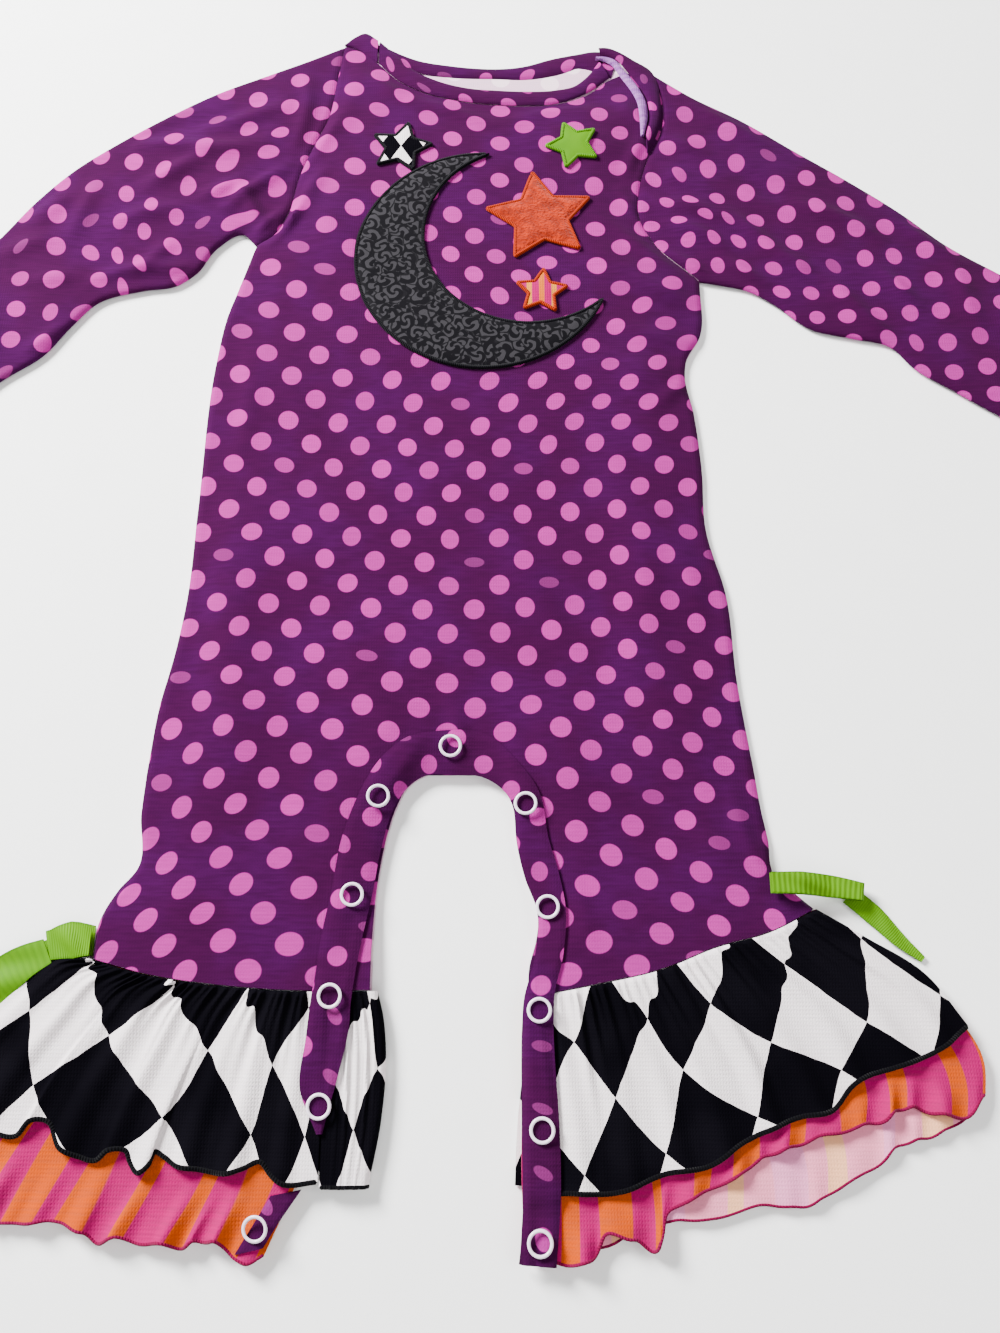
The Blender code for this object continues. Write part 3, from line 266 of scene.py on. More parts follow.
def body_plan(top):
    """Give the plan of a body panel: zone 0 to 1 holds the armholes, 1 to 2 the trunk, 2 to 3 the legs."""
    armpits = straight(SIDE_LEFT[0], SIDE_RIGHT[0])
    crotch = straight(SIDE_LEFT[-1], SIDE_RIGHT[-1])
    chest = patch(curve_through(ARMHOLE_LEFT), curve_through(ARMHOLE_RIGHT), top, armpits)
    trunk = patch(curve_through(SIDE_LEFT), curve_through(SIDE_RIGHT), armpits, crotch)
    left_leg = patch(curve_through(LEG_OUTER_LEFT), curve_through(NOTCH_LEFT),
                     straight(SIDE_LEFT[-1], NOTCH_LEFT[0]), curve_through(LEG_HEM_LEFT))
    right_leg = patch(curve_through(NOTCH_RIGHT), curve_through(LEG_OUTER_RIGHT),
                      straight(NOTCH_RIGHT[0], SIDE_RIGHT[-1]), curve_through(LEG_HEM_RIGHT))

    def at(u, v):
        zone = np.interp(v, [0, *ZONE_ENDS, 1], [0, 1, 2, 3])
        share = np.interp(u, [0, *ARCH_SHARE, 1], [0, NOTCH_FROM, NOTCH_TO, 1])
        left = left_leg(np.clip(share / NOTCH_FROM, 0, 1), np.clip(zone - 2, 0, 1))
        right = right_leg(np.clip((share - NOTCH_TO) / (1 - NOTCH_TO), 0, 1), np.clip(zone - 2, 0, 1))
        plan = np.where((share < 0.5)[:, None], left, right)
        upper = trunk(share, np.clip(zone - 1, 0, 1))
        plan = np.where((zone <= 2.0001)[:, None], upper, plan)
        return np.where((zone <= 1)[:, None], chest(share, np.clip(zone, 0, 1)), plan)

    return at


def between_legs(u, v):
    """Say which of a panel's faces lie in the gap between the legs."""
    return (u > ARCH_SHARE[0]) & (u < ARCH_SHARE[1]) & (v > ZONE_ENDS[1])


def points_of(piece):
    """Read a mesh's points."""
    spots = np.empty(3 * len(piece.data.vertices))
    piece.data.vertices.foreach_get("co", spots)
    return spots.reshape(-1, 3)


def set_points(piece, spots):
    """Move a mesh's points to places in millimetres."""
    piece.data.vertices.foreach_set("co", (spots * MM).ravel())
    piece.data.update()


def set_maps(piece, cut, prints):
    """Give a mesh its two flat maps: the flat cut in metres for the knit, and the print's own place."""
    corners = np.empty(len(piece.data.loops), int)
    piece.data.loops.foreach_get("vertex_index", corners)
    for layer in list(piece.data.uv_layers):
        piece.data.uv_layers.remove(layer)
    for label, values in (("cut", cut), ("print", prints)):
        layer = piece.data.uv_layers.new(name=label)
        layer.data.foreach_set("uv", values[corners].ravel())


def cloth_grid(name, columns, rows, place, prints, left_out=None):
    """Lay out a grid of cloth and move its points: place(u, v) gives x, y and z in millimetres, v from the top
    down, prints gives the print's place, and left_out picks the faces that are cut away."""
    bpy.ops.object.select_all(action="DESELECT")
    bpy.ops.mesh.primitive_grid_add(x_subdivisions=columns, y_subdivisions=rows, size=1.0)
    piece = bpy.context.object
    piece.name = piece.data.name = name
    if left_out:
        bpy.ops.object.mode_set(mode="EDIT")
        bpy.ops.mesh.select_mode(type="FACE")
        bpy.ops.mesh.select_all(action="DESELECT")
        bpy.ops.object.mode_set(mode="OBJECT")
        centres = np.empty(3 * len(piece.data.polygons))
        piece.data.polygons.foreach_get("center", centres)
        centres = centres.reshape(-1, 3)
        piece.data.polygons.foreach_set("select", left_out(centres[:, 0] + 0.5, 0.5 - centres[:, 1]))
        bpy.ops.object.mode_set(mode="EDIT")
        bpy.ops.mesh.delete(type="FACE")
        bpy.ops.object.mode_set(mode="OBJECT")
    spots = points_of(piece)
    u, v = spots[:, 0] + 0.5, 0.5 - spots[:, 1]
    placed = place(u, v)
    set_points(piece, placed)
    set_maps(piece, placed[:, :2] * MM, prints(u, v, placed))
    return piece


def give_wall(piece, wall, offset, *finishes):
    """Give a sheet its thickness and its finishes: the outside first, then the inside if it differs."""
    for finish in finishes:
        piece.data.materials.append(finish)
    bpy.ops.object.select_all(action="DESELECT")
    piece.select_set(True)
    bpy.context.view_layer.objects.active = piece
    solid = piece.modifiers.new("wall", "SOLIDIFY")
    solid.thickness = wall * MM
    solid.offset = offset
    solid.material_offset = len(finishes) - 1
    bpy.ops.object.modifier_apply(modifier="wall")
    bpy.ops.object.shade_smooth_by_angle(angle=math.radians(50))


def settle(piece, node):
    """Fix a piece to the romper in the place of its CAD solid."""
    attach(piece, "root")
    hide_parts(node)


def place_of(tree, label):
    """Read one of a piece's flat maps."""
    return add_node(tree, "UVMap", uv_map=label).outputs["UV"]


def reckon(tree, operation, first, second=0.0, third=0.0):
    """Do one sum on values."""
    return add_node(tree, "Math", {0: first, 1: second, 2: third}, operation=operation).outputs[0]


def eased(tree, value, low, high, first=0.0, last=1.0):
    """Ease a value between two ends."""
    return add_node(tree, "MapRange", {"Value": value, "From Min": low, "From Max": high, "To Min": first,
                                       "To Max": last}, interpolation_type="SMOOTHSTEP").outputs["Result"]


def new_group(name, wanted, given):
    """Start a node group with named inputs and outputs."""
    group = bpy.data.node_groups.new(name, "ShaderNodeTree")
    for label, kind, value in wanted:
        socket = group.interface.new_socket(label, in_out="INPUT", socket_type="NodeSocket" + kind)
        if value is not None:
            socket.default_value = value
    for label, kind in given:
        group.interface.new_socket(label, in_out="OUTPUT", socket_type="NodeSocket" + kind)
    return group, group.nodes.new("NodeGroupInput").outputs, group.nodes.new("NodeGroupOutput").inputs


def add_group(tree, group, sockets):
    """Place a node group in a material with its own values."""
    return add_node(tree, "Group", sockets, node_tree=group).outputs


# Knit: fine wales and courses, and the uneven take-up of dye
knit, taken, given = new_group("jersey_knit", [("Place", "Vector", None), ("Wales", "Float", 900.0),
                                               ("Courses", "Float", 700.0)],
                               [("Height", "Float"), ("Cloud", "Float"), ("Streak", "Float")])
parts = add_node(knit, "SeparateXYZ", {0: taken["Place"]})
wale = reckon(knit, "MULTIPLY", parts.outputs["X"], taken["Wales"])
leg = reckon(knit, "PINGPONG", wale, 0.5)
course = reckon(knit, "MULTIPLY_ADD", parts.outputs["Y"], taken["Courses"], leg)
loop = reckon(knit, "SINE", reckon(knit, "MULTIPLY", course, 2 * math.pi))
rib = reckon(knit, "SINE", reckon(knit, "MULTIPLY", wale, 2 * math.pi))
fuzz = add_node(knit, "TexNoise", {"Vector": taken["Place"], "Scale": 1600.0, "Detail": 2.0}).outputs[0]
stitchwork = reckon(knit, "MULTIPLY_ADD", loop, 0.3, reckon(knit, "MULTIPLY", rib, 0.25))
knit.links.new(reckon(knit, "ADD", stitchwork, fuzz), given["Height"])
cloud = add_node(knit, "TexNoise", {"Vector": taken["Place"], "Scale": 28.0, "Detail": 3.0}).outputs[0]
knit.links.new(eased(knit, cloud, 0.40, 0.66), given["Cloud"])
stretch = add_node(knit, "Mapping", {"Vector": taken["Place"], "Scale": (90.0, 700.0, 1.0)}).outputs[0]
streak = add_node(knit, "TexNoise", {"Vector": stretch, "Scale": 1.0, "Detail": 3.0}).outputs[0]
knit.links.new(eased(knit, streak, 0.35, 0.70), given["Streak"])

# Dot print: a centred lattice of round dots, each a little out of true, some squashed in soft wrinkles; the squashed
# dots are painted greyer as the wrinkles' painted shade, and every dot is greyed a little at random
dots, taken, given = new_group("printed_dots", [("Print", "Vector", None), ("Radius", "Float", DOT_RADIUS),
                                                ("Squashed", "Float", 0.72),
                                                ("Repeat", "Vector", (*PRINT_REPEAT, 0.0))],
                               [("Dot", "Float"), ("Fade_and_shade", "Float")])
parts = add_node(dots, "SeparateXYZ", {0: taken["Print"]})
slant = reckon(dots, "ADD", parts.outputs["X"], parts.outputs["Y"])
lean = reckon(dots, "SUBTRACT", parts.outputs["X"], parts.outputs["Y"])
nearest = [reckon(dots, "ROUND", slant), reckon(dots, "ROUND", lean)]
nearest_dot = add_node(dots, "CombineXYZ", {0: nearest[0], 1: nearest[1]}).outputs[0]
chance = add_node(dots, "TexWhiteNoise", {"Vector": nearest_dot}, noise_dimensions="2D")
chances = add_node(dots, "SeparateColor", {0: chance.outputs["Color"]}).outputs
steps = add_node(dots, "SeparateXYZ", {0: taken["Repeat"]}).outputs
centre_x = reckon(dots, "MULTIPLY", reckon(dots, "ADD", *nearest), 0.5)
centre_y = reckon(dots, "MULTIPLY", reckon(dots, "SUBTRACT", *nearest), 0.5)
off_x = reckon(dots, "MULTIPLY", reckon(dots, "SUBTRACT", parts.outputs["X"], centre_x), steps["X"])
off_y = reckon(dots, "MULTIPLY", reckon(dots, "SUBTRACT", parts.outputs["Y"], centre_y), steps["Y"])
squeeze = eased(dots, chance.outputs["Value"], taken["Squashed"], 1.06, 0.0, 1.0)
narrow = reckon(dots, "MULTIPLY_ADD", squeeze, -0.50, reckon(dots, "MULTIPLY_ADD", chances[1], -0.10, 1.0))
turn = reckon(dots, "MULTIPLY", chances[0], 3.1)
cosine, sine = reckon(dots, "COSINE", turn), reckon(dots, "SINE", turn)
wide = reckon(dots, "ADD", reckon(dots, "MULTIPLY", off_x, cosine), reckon(dots, "MULTIPLY", off_y, sine))
tall = reckon(dots, "SUBTRACT", reckon(dots, "MULTIPLY", off_y, cosine), reckon(dots, "MULTIPLY", off_x, sine))
tall = reckon(dots, "DIVIDE", tall, narrow)
squares = reckon(dots, "ADD", reckon(dots, "MULTIPLY", wide, wide), reckon(dots, "MULTIPLY", tall, tall))
reach = reckon(dots, "SQRT", squares)
past = reckon(dots, "SUBTRACT", reach, taken["Radius"])
dots.links.new(eased(dots, past, -0.30, 0.25, 1.0, 0.0), given["Dot"])
# Painted shade: squashed dots are greyed as if shaded in their wrinkles, with a little random greying added to every
# dot
dots.links.new(reckon(dots, "MULTIPLY_ADD", squeeze, 0.9, reckon(dots, "MULTIPLY", chances[2], 0.22)), given["Fade_and_shade"])


def yarn_in(tree):
    """Place the knit in a material, on the piece's flat cut."""
    return add_group(tree, knit, {"Place": place_of(tree, "cut")})


def dotted_jersey(name, squashed=0.82, radius=DOT_RADIUS, repeat=PRINT_REPEAT):
    """Make the printed right side of the jersey."""
    finish, tree, shader = new_finish(name, PURPLE, 0.85, 0.015)
    yarn = yarn_in(tree)
    mark = add_group(tree, dots, {"Print": place_of(tree, "print"), "Squashed": squashed, "Radius": radius,
                                  "Repeat": (*repeat, 0.0)})
    ground = blended(tree, reckon(tree, "MULTIPLY", yarn["Cloud"], 0.38), PURPLE, PURPLE_BLUER)
    ground = blended(tree, reckon(tree, "MULTIPLY", yarn["Streak"], 0.45), ground, PURPLE_DEEP)
    # Squashed dots turn towards the greyed pink as painted shade of their wrinkles; the knit's streaks grey the dots a
    # little more
    ink = blended(tree, mark["Fade_and_shade"], DOT_PINK, DOT_FADE_AND_SHADE)
    ink = blended(tree, reckon(tree, "MULTIPLY", yarn["Streak"], 0.16), ink, DOT_FADE_AND_SHADE)
    dress(tree, shader, blended(tree, mark["Dot"], ground, ink), yarn["Height"], 0.25)
    return finish


def pale_inside(name):
    """Make the wrong side of the jersey, where the print only just shows."""
    finish, tree, shader = new_finish(name, INSIDE_PALE, 0.9)
    yarn = yarn_in(tree)
    mark = add_group(tree, dots, {"Print": place_of(tree, "print")})
    ground = blended(tree, reckon(tree, "MULTIPLY", yarn["Streak"], 0.35), INSIDE_PALE, INSIDE_STREAK)
    dress(tree, shader, blended(tree, mark["Dot"], ground, INSIDE_DOT), yarn["Height"])
    return finish


def body_prints(u, v, placed):
    """Read the body's dot print at a piece's points."""
    return body_print(placed[:, :2])


jersey = dotted_jersey("dot_jersey_right_side")
inside = pale_inside("dot_jersey_wrong_side")
body_print = charted(BODY_PRINT)

back_cut = body_plan(curve_through(BACK_TOP))
back = cloth_grid("back_panel", BACK_COLUMNS, BACK_ROWS, lambda u, v: np.c_[back_cut(u, v), np.full(len(u), WALL)],
                  body_prints, between_legs)
give_wall(back, WALL, INWARDS, inside, jersey)
settle(back, "back_body")

# ---- The front of the body ----
# The same printed jersey, scooped at the neck and cut out between the legs. It lies on the back
# with soft uneven creases, turns down at the side seams and lifts over the ruffles at the leg hems.
FRONT_TOP = [(-82, 344), (-75, 341), (-64, 332), (-55, 322), (-40, 312.5), (-22, 307), (-2, 304), (14, 303.4),
             (29, 304.6), (47, 312), (56, 320), (66, 325), (79, 326)]
FRONT_COLUMNS = 128
FRONT_ROWS = 236
FRONT_WALL = 0.9
FRONT_SEAT = WALL + SEAM_GAP
FRONT_FACE = FRONT_SEAT + WALL
RUFFLE_WALL = 1.0
STRIPE_BACK_LEVEL = RUFFLE_WALL + SEAM_GAP
STRIPE_FRONT_LEVEL = STRIPE_BACK_LEVEL + RUFFLE_WALL + SEAM_GAP
HARLEQUIN_FRONT_LEVEL = STRIPE_FRONT_LEVEL + RUFFLE_WALL + 0.6
HEM_RISE_REACH = 42.0
PUFF = 1.5
PUFF_REACH = 26.0
FINE_FOLD_REACH = 5.0
SWAY_REACH = 12.0
ROLL_REACH = 2.6
ROLL_CLEAR = 0.2
ARM_DIP = 0.7
ARM_DIP_REACH = 1.6
FOLD_STRENGTH = 1.45
# Soft folds: start x, start y, end x, end y, half width, height
BROAD_FOLDS = [
    (-62, 318, -20, 300, 9, 1.3), (-10, 297, 60, 296, 8, 1.2), (20, 284, 68, 276, 8, 1.2),
    (-84, 330, -90, 275, 10, 1.6), (-100, 248, -70, 205, 11, 1.3), (64, 232, 92, 200, 9, 1.6),
    (40, 214, 90, 188, 9, 1.2), (52, 150, 84, 140, 9, 1.2), (56, 96, 68, -30, 12, 1.4),
    (-118, 60, -112, -60, 13, 1.2), (-60, -8, -40, -60, 12, 1.0), (4, -20, 40, -60, 12, 1.1)]
FINE_FOLDS = [
    (-98, 236, -112, 222, 3.0, 1.4), (-92, 246, -116, 214, 3.4, 1.2), (-86, 262, -100, 238, 3.6, 1.1),
    (-94, 270, -84, 300, 4.0, 1.0), (72, 240, 90, 204, 3.0, 1.5), (62, 250, 84, 206, 3.4, 1.2),
    (50, 232, 88, 196, 4.0, 1.1), (66, 262, 72, 286, 3.6, 1.0), (60, 306, 76, 286, 4.0, 1.0),
    (-70, 326, -50, 306, 4.5, 0.9), (-46, 304, -6, 294, 4.0, 0.8), (10, 296, 46, 300, 4.0, 0.8),
    (70, 196, 94, 180, 4.0, 1.0), (60, 172, 90, 158, 4.5, 0.9), (70, 128, 88, 140, 4.0, 0.9),
    (-36, -34, -52, -62, 4.0, 0.9), (-22, -18, -18, -38, 4.0, 0.7), (4, -38, 16, -66, 4.0, 0.9),
    (96, -58, 106, -90, 4.0, 1.2), (82, -70, 100, -96, 4.5, 1.0), (-140, -80, -120, -116, 4.5, 0.9),
    (-64, -90, -70, -124, 4.0, 0.8), (28, -88, 34, -122, 4.0, 0.8), (74, 60, 90, 20, 5.0, 0.8),
    (-30, 110, 14, 96, 5.5, -0.5), (-90, 130, -60, 90, 6.0, -0.5), (20, 40, 50, -10, 6.0, -0.5),
    (-70, 20, -50, -20, 6.0, 0.5), (-10, 70, 20, 30, 6.0, 0.5), (-120, 150, -116, 100, 5.0, 0.6)]


def fold_height(plan, rows):
    """Add up soft folds at plan points; each one wanders a little off its straight line."""
    height = np.zeros(len(plan))
    astray = plan + np.c_[2.2 * np.sin(plan[:, 1] / 13.0 + 0.6), 2.2 * np.sin(plan[:, 0] / 11.0 + 1.9)]
    for x0, y0, x1, y1, half_width, rise in rows:
        run = np.array([x1 - x0, y1 - y0], float)
        here = astray - (x0, y0)
        share = np.clip(here @ run / (run @ run), 0, 1)
        away = np.linalg.norm(here - share[:, None] * run, axis=1) / half_width
        height += FOLD_STRENGTH * rise * np.exp(-away ** 2) * (0.35 + 0.65 * np.sin(np.pi * share))
    return height


def distance_to(curves, plan, steps=48):
    """Measure how far plan points are from the nearest of some curves."""
    nearest = np.full(len(plan), 1e9)
    for curve in curves:
        knots = curve(np.linspace(0, 1, steps))
        for first, last in zip(knots, knots[1:]):
            run = last - first
            share = np.clip((plan - first) @ run / max(run @ run, TINY), 0, 1)
            nearest = np.minimum(nearest, np.linalg.norm(plan - first - share[:, None] * run, axis=1))
    return nearest


def hem_line_y(x):
    """Give the plan height of the leg hems under points."""
    rows = LEG_HEM_LEFT + LEG_HEM_RIGHT
    return np.interp(x, [row[0] for row in rows], [row[1] for row in rows])


front_top = curve_through(FRONT_TOP)
front_cut = body_plan(front_top)
arms_of_cut = [curve_through(ARMHOLE_LEFT), curve_through(ARMHOLE_RIGHT)]
sides_of_cut = [curve_through(rows) for rows in (SIDE_LEFT, SIDE_RIGHT, LEG_OUTER_LEFT, LEG_OUTER_RIGHT)]
hems_of_cut = [curve_through(LEG_HEM_LEFT), curve_through(LEG_HEM_RIGHT)]
gap_of_cut = [curve_through(NOTCH_LEFT), curve_through(NOTCH_RIGHT), straight(NOTCH_LEFT[0], NOTCH_RIGHT[0])]


def front_place(u, v):
    """Give the front's outer face."""
    plan = front_cut(u, v)
    to_side = distance_to(sides_of_cut, plan)
    to_arm = distance_to(arms_of_cut, plan)
    to_gap = distance_to(gap_of_cut, plan)
    depth = np.minimum.reduce([to_side, to_arm, to_gap, distance_to(hems_of_cut + [front_top], plan)])
    puff = PUFF * smooth(depth / PUFF_REACH)
    folds = fold_height(plan, BROAD_FOLDS) * smooth(depth / (0.5 * PUFF_REACH))
    folds += fold_height(plan, FINE_FOLDS) * smooth(depth / FINE_FOLD_REACH)
    sway = 0.22 * np.sin(plan[:, 0] / 17.0 + plan[:, 1] / 29.0) + 0.18 * np.sin(plan[:, 1] / 13.0 - plan[:, 0] / 31.0)
    near_hem = 1 - (plan[:, 1] - hem_line_y(plan[:, 0])) / HEM_RISE_REACH
    rise = (HARLEQUIN_FRONT_LEVEL - FRONT_SEAT) * smooth(near_hem)
    height = FRONT_SEAT + (puff + folds + sway * smooth(depth / SWAY_REACH)) * smooth(1 - near_hem) + rise + WALL
    rolled = 1 - np.sqrt(1 - np.clip(1 - to_side / ROLL_REACH, 0, 1) ** 2)
    height -= rolled * (height - WALL - ROLL_CLEAR)
    height -= ARM_DIP * np.clip(1 - to_arm / ARM_DIP_REACH, 0, 1) ** 2
    return np.c_[plan, height]


front = cloth_grid("front_panel", FRONT_COLUMNS, FRONT_ROWS, front_place, body_prints, between_legs)
give_wall(front, FRONT_WALL, INWARDS, jersey, inside)
settle(front, "front_body")

# ---- The sleeves ----
# Long sleeves of the same jersey, each a flattened tube sewn to the armhole, with the print's rows
# running along the upper fold. Slanting creases gather at the armholes and run down the arms.
SLEEVE_TOP_LEFT = [(-82, 345), (-100, 335), (-119, 326), (-148, 312), (-173, 296), (-200, 276), (-212, 266),
                   (-230, 246), (-247, 221), (-288, 172)]
SLEEVE_UNDER_LEFT = [(-120, 217), (-127, 224), (-139, 216), (-148, 201), (-157, 194), (-173, 191), (-194, 184),
                     (-205, 171), (-216, 155), (-235, 140), (-250, 124)]
SLEEVE_TOP_RIGHT = [(79, 327), (100, 310), (124, 295), (149, 276), (177, 255), (199, 237), (220, 217), (244, 200),
                    (290, 167)]
SLEEVE_UNDER_RIGHT = [(97, 196), (108, 194), (120, 191), (131, 184), (149, 169), (168, 164), (186, 159), (195, 148),
                      (213, 135), (232, 122), (253, 109)]
CUFF_LEFT = [(-288, 172), (-250, 124)]
CUFF_RIGHT = [(290, 167), (253, 109)]
SLEEVE_STATIONS = 150
SLEEVE_AROUND = 132
SLEEVE_EDGE = 2 * WALL + SEAM_GAP
SLEEVE_MIDDLE = WALL + 0.5 * SEAM_GAP
SLEEVE_WALL = 0.8
SLEEVE_PUFF = 1.5
SLEEVE_ROLL = 2.6
CREASE_REACH = 7.0
SEAM_DIP = 0.7
SEAM_DIP_REACH = 1.8
CUFF_STITCH_PLACE = 9.0
CUFF_STITCH_WIDTH = 1.2
CUFF_STITCH_DEPTH = 0.5
# The dot print on the sleeves: plan x and y, then repeats along and repeats across
PRINT_LEFT = [
    (-234, 214, 0.5, 0.5), (-217, 215, 1.0, 0.0), (-200, 211, 1.5, -0.5), (-232, 196, 0.0, 0.0), (-216, 195, 0.5, -0.5),
    (-193, 196, 1.0, -1.0), (-232, 179, -0.5, -0.5), (-215, 177, 0.0, -1.0), (-202, 178, 0.5, -1.5),
    (-232, 162, -1.0, -1.0), (-219, 234, 1.5, 0.5), (-202, 230, 2.0, 0.0), (-203, 251, 2.5, 0.5), (-186, 246, 3.0, 0.0),
    (-173, 239, 3.5, -0.5), (-185, 267, 3.5, 0.5), (-169, 262, 4.0, 0.0), (-156, 251, 4.5, -0.5),
    (-131, 251, 5.0, -1.0), (-111, 251, 5.5, -1.5), (-166, 281, 4.5, 0.5), (-149, 276, 5.0, 0.0),
    (-139, 264, 5.5, -0.5), (-118, 274, 6.0, -1.0), (-145, 294, 5.5, 0.5), (-128, 287, 6.0, 0.0),
    (-112, 285, 6.5, -0.5), (-96, 283, 7.0, -1.0), (-125, 307, 6.5, 0.5), (-108, 302, 7.0, 0.0), (-104, 320, 7.5, 0.5),
    (-160, 232, 4.0, -1.0), (-133, 230, 5.0, -2.0), (-175, 224, 3.0, -1.0), (-160, 215, 3.5, -1.5),
    (-176, 205, 2.5, -1.5), (-155, 197, 3.0, -2.0), (-187, 230, 2.5, -0.5)]
PRINT_RIGHT = [
    (95, 298, 0, 0), (116, 286, 1, 0), (136, 271, 2, 0), (154, 257, 3, 0), (172, 241, 4, 0), (190, 227, 5, 0),
    (208, 213, 6, 0), (224, 197, 7, 0), (100, 279, 0.5, -0.5), (119, 266, 1.5, -0.5), (138, 253, 2.5, -0.5),
    (157, 239, 3.5, -0.5), (175, 225, 4.5, -0.5), (192, 209, 5.5, -0.5), (210, 196, 6.5, -0.5), (226, 180, 7.5, -0.5),
    (85, 276, 0, -1), (105, 263, 1, -1), (123, 248, 2, -1), (142, 234, 3, -1), (160, 222, 4, -1), (178, 208, 5, -1),
    (194, 193, 6, -1), (211, 178, 7, -1), (228, 164, 8, -1), (90, 259, 0.5, -1.5), (108, 243, 1.5, -1.5),
    (126, 230, 2.5, -1.5), (144, 217, 3.5, -1.5), (162, 203, 4.5, -1.5), (179, 190, 5.5, -1.5), (196, 176, 6.5, -1.5),
    (212, 160, 7.5, -1.5), (229, 147, 8.5, -1.5), (94, 242, 1, -2), (112, 231, 2, -2), (130, 216, 3, -2),
    (147, 202, 4, -2), (164, 188, 5, -2), (181, 176, 6, -2), (197, 160, 7, -2), (213, 144, 8, -2), (83, 241, 0.5, -2.5),
    (102, 234, 1.5, -2.5), (117, 218, 2.5, -2.5), (133, 202, 3.5, -2.5), (150, 188, 4.5, -2.5), (185, 163, 6.5, -2.5),
    (216, 131, 8.5, -2.5), (118, 203, 3, -3), (136, 189, 4, -3), (168, 162, 6, -3)]
# Creases in plan: start, end, half width, height
CREASES_LEFT = [
    (-182, 276, -122, 278, 4.5, 1.7), (-174, 249, -148, 272, 4.5, 1.8), (-190, 228, -156, 239, 4.5, 1.4),
    (-196, 197, -150, 204, 4.0, 1.6), (-128, 252, -118, 228, 3.2, 1.5), (-122, 222, -103, 238, 3.0, 1.5),
    (-148, 246, -130, 256, 3.4, 1.3), (-176, 200, -162, 218, 4.0, 1.2), (-222, 157, -200, 174, 4.0, 1.5),
    (-233, 228, -212, 250, 5.0, 1.3), (-246, 208, -222, 222, 5.0, 1.2), (-112, 300, -150, 292, 4.5, 1.3),
    (-104, 262, -136, 240, 3.6, 1.4), (-200, 254, -214, 222, 5.0, 1.1), (-262, 178, -240, 160, 5.0, 1.0),
    (-100, 318, -104, 276, 4.0, 1.1), (-226, 196, -206, 200, 4.5, 1.0), (-140, 300, -182, 282, 5.0, -0.8)]
CREASES_RIGHT = [
    (74, 244, 110, 231, 4.0, 1.6), (82, 230, 106, 214, 4.0, 1.6), (112, 235, 134, 213, 4.5, 1.6),
    (131, 216, 152, 198, 4.5, 1.5), (143, 244, 184, 220, 4.5, 1.5), (77, 213, 98, 198, 3.0, 1.6),
    (184, 200, 202, 184, 4.0, 1.3), (218, 204, 230, 172, 5.0, 1.3), (157, 194, 190, 160, 4.5, 1.4),
    (82, 282, 104, 270, 4.0, 1.3), (100, 300, 132, 282, 5.0, 1.0), (196, 232, 226, 206, 5.0, 1.1),
    (240, 176, 262, 140, 5.0, 1.0), (108, 206, 128, 196, 3.4, 1.2), (84, 262, 96, 252, 3.4, 1.0),
    (120, 262, 150, 240, 5.0, -0.8)]


def close_seams(threshold=0.00001):
    """Merge the points that meet on the piece just made, and turn its faces outwards."""
    bpy.ops.object.mode_set(mode="EDIT")
    bpy.ops.mesh.select_all(action="SELECT")
    bpy.ops.mesh.remove_doubles(threshold=threshold)
    bpy.ops.mesh.normals_make_consistent(inside=False)
    bpy.ops.object.mode_set(mode="OBJECT")


def sleeve(name, armhole, cuff, top_edge, under_edge, creases, sleeve_print, node, finish):
    """Make a sleeve: v goes round it, from the upper fold over the top to the under fold and back beneath."""
    top_line = curve_through([tuple(armhole(0.0))] + top_edge[1:])
    under_line = curve_through([tuple(armhole(1.0))] + under_edge[1:])
    plan_at = patch(armhole, straight(*cuff), top_line, under_line, 6)
    length = steps_of(top_line(np.linspace(0, 1, 60))).sum()

    def place(u, v):
        across = 0.5 - 0.5 * np.cos(2 * np.pi * v)
        plan = plan_at(u, across)
        from_edge = distance_to([top_line, under_line], plan, 90)
        roundness = np.sqrt(1 - np.clip(1 - from_edge / SLEEVE_ROLL, 0, 1) ** 2)
        belly = np.sin(np.pi * np.clip(across, 0, 1)) ** 0.8 * smooth(u / 0.12)
        crown = SLEEVE_EDGE + belly * SLEEVE_PUFF
        crown += fold_height(plan, creases) * smooth(from_edge / CREASE_REACH) * smooth((u + 0.02) / 0.06)
        crown += 0.3 * np.sin(plan[:, 0] / 9.0 + plan[:, 1] / 15.0) * belly
        crown -= SEAM_DIP * np.clip(1 - u * length / SEAM_DIP_REACH, 0, 1) ** 2
        crown -= CUFF_STITCH_DEPTH * np.exp(-((1 - u) * length / CUFF_STITCH_WIDTH - CUFF_STITCH_PLACE) ** 2)
        upper = SLEEVE_MIDDLE + (crown - SLEEVE_MIDDLE) * roundness
        return np.c_[plan, np.where(v <= 0.5, upper, SLEEVE_MIDDLE * (1 - roundness))]

    piece = cloth_grid(name, SLEEVE_STATIONS, SLEEVE_AROUND, place, lambda u, v, placed: sleeve_print(placed[:, :2]))
    close_seams()
    give_wall(piece, SLEEVE_WALL, INWARDS, finish, inside)
    settle(piece, node)
    return piece


jersey_left = dotted_jersey("dot_jersey_sleeve_left", squashed=0.80, radius=4.5, repeat=(22.5, 25.0))
jersey_right = dotted_jersey("dot_jersey_sleeve_right", squashed=0.80, radius=4.5, repeat=(22.5, 22.5))
sleeve_left = sleeve("sleeve_tube_left", moved(curve_through(ARMHOLE_LEFT), -0.12, 0.10), CUFF_LEFT, SLEEVE_TOP_LEFT,
                     SLEEVE_UNDER_LEFT, CREASES_LEFT, charted(PRINT_LEFT), "sleeve_left", jersey_left)
sleeve_right = sleeve("sleeve_tube_right", moved(curve_through(ARMHOLE_RIGHT), 0.12, 0.10), CUFF_RIGHT,
                      SLEEVE_TOP_RIGHT, SLEEVE_UNDER_RIGHT, CREASES_RIGHT, charted(PRINT_RIGHT), "sleeve_right",
                      jersey_right)

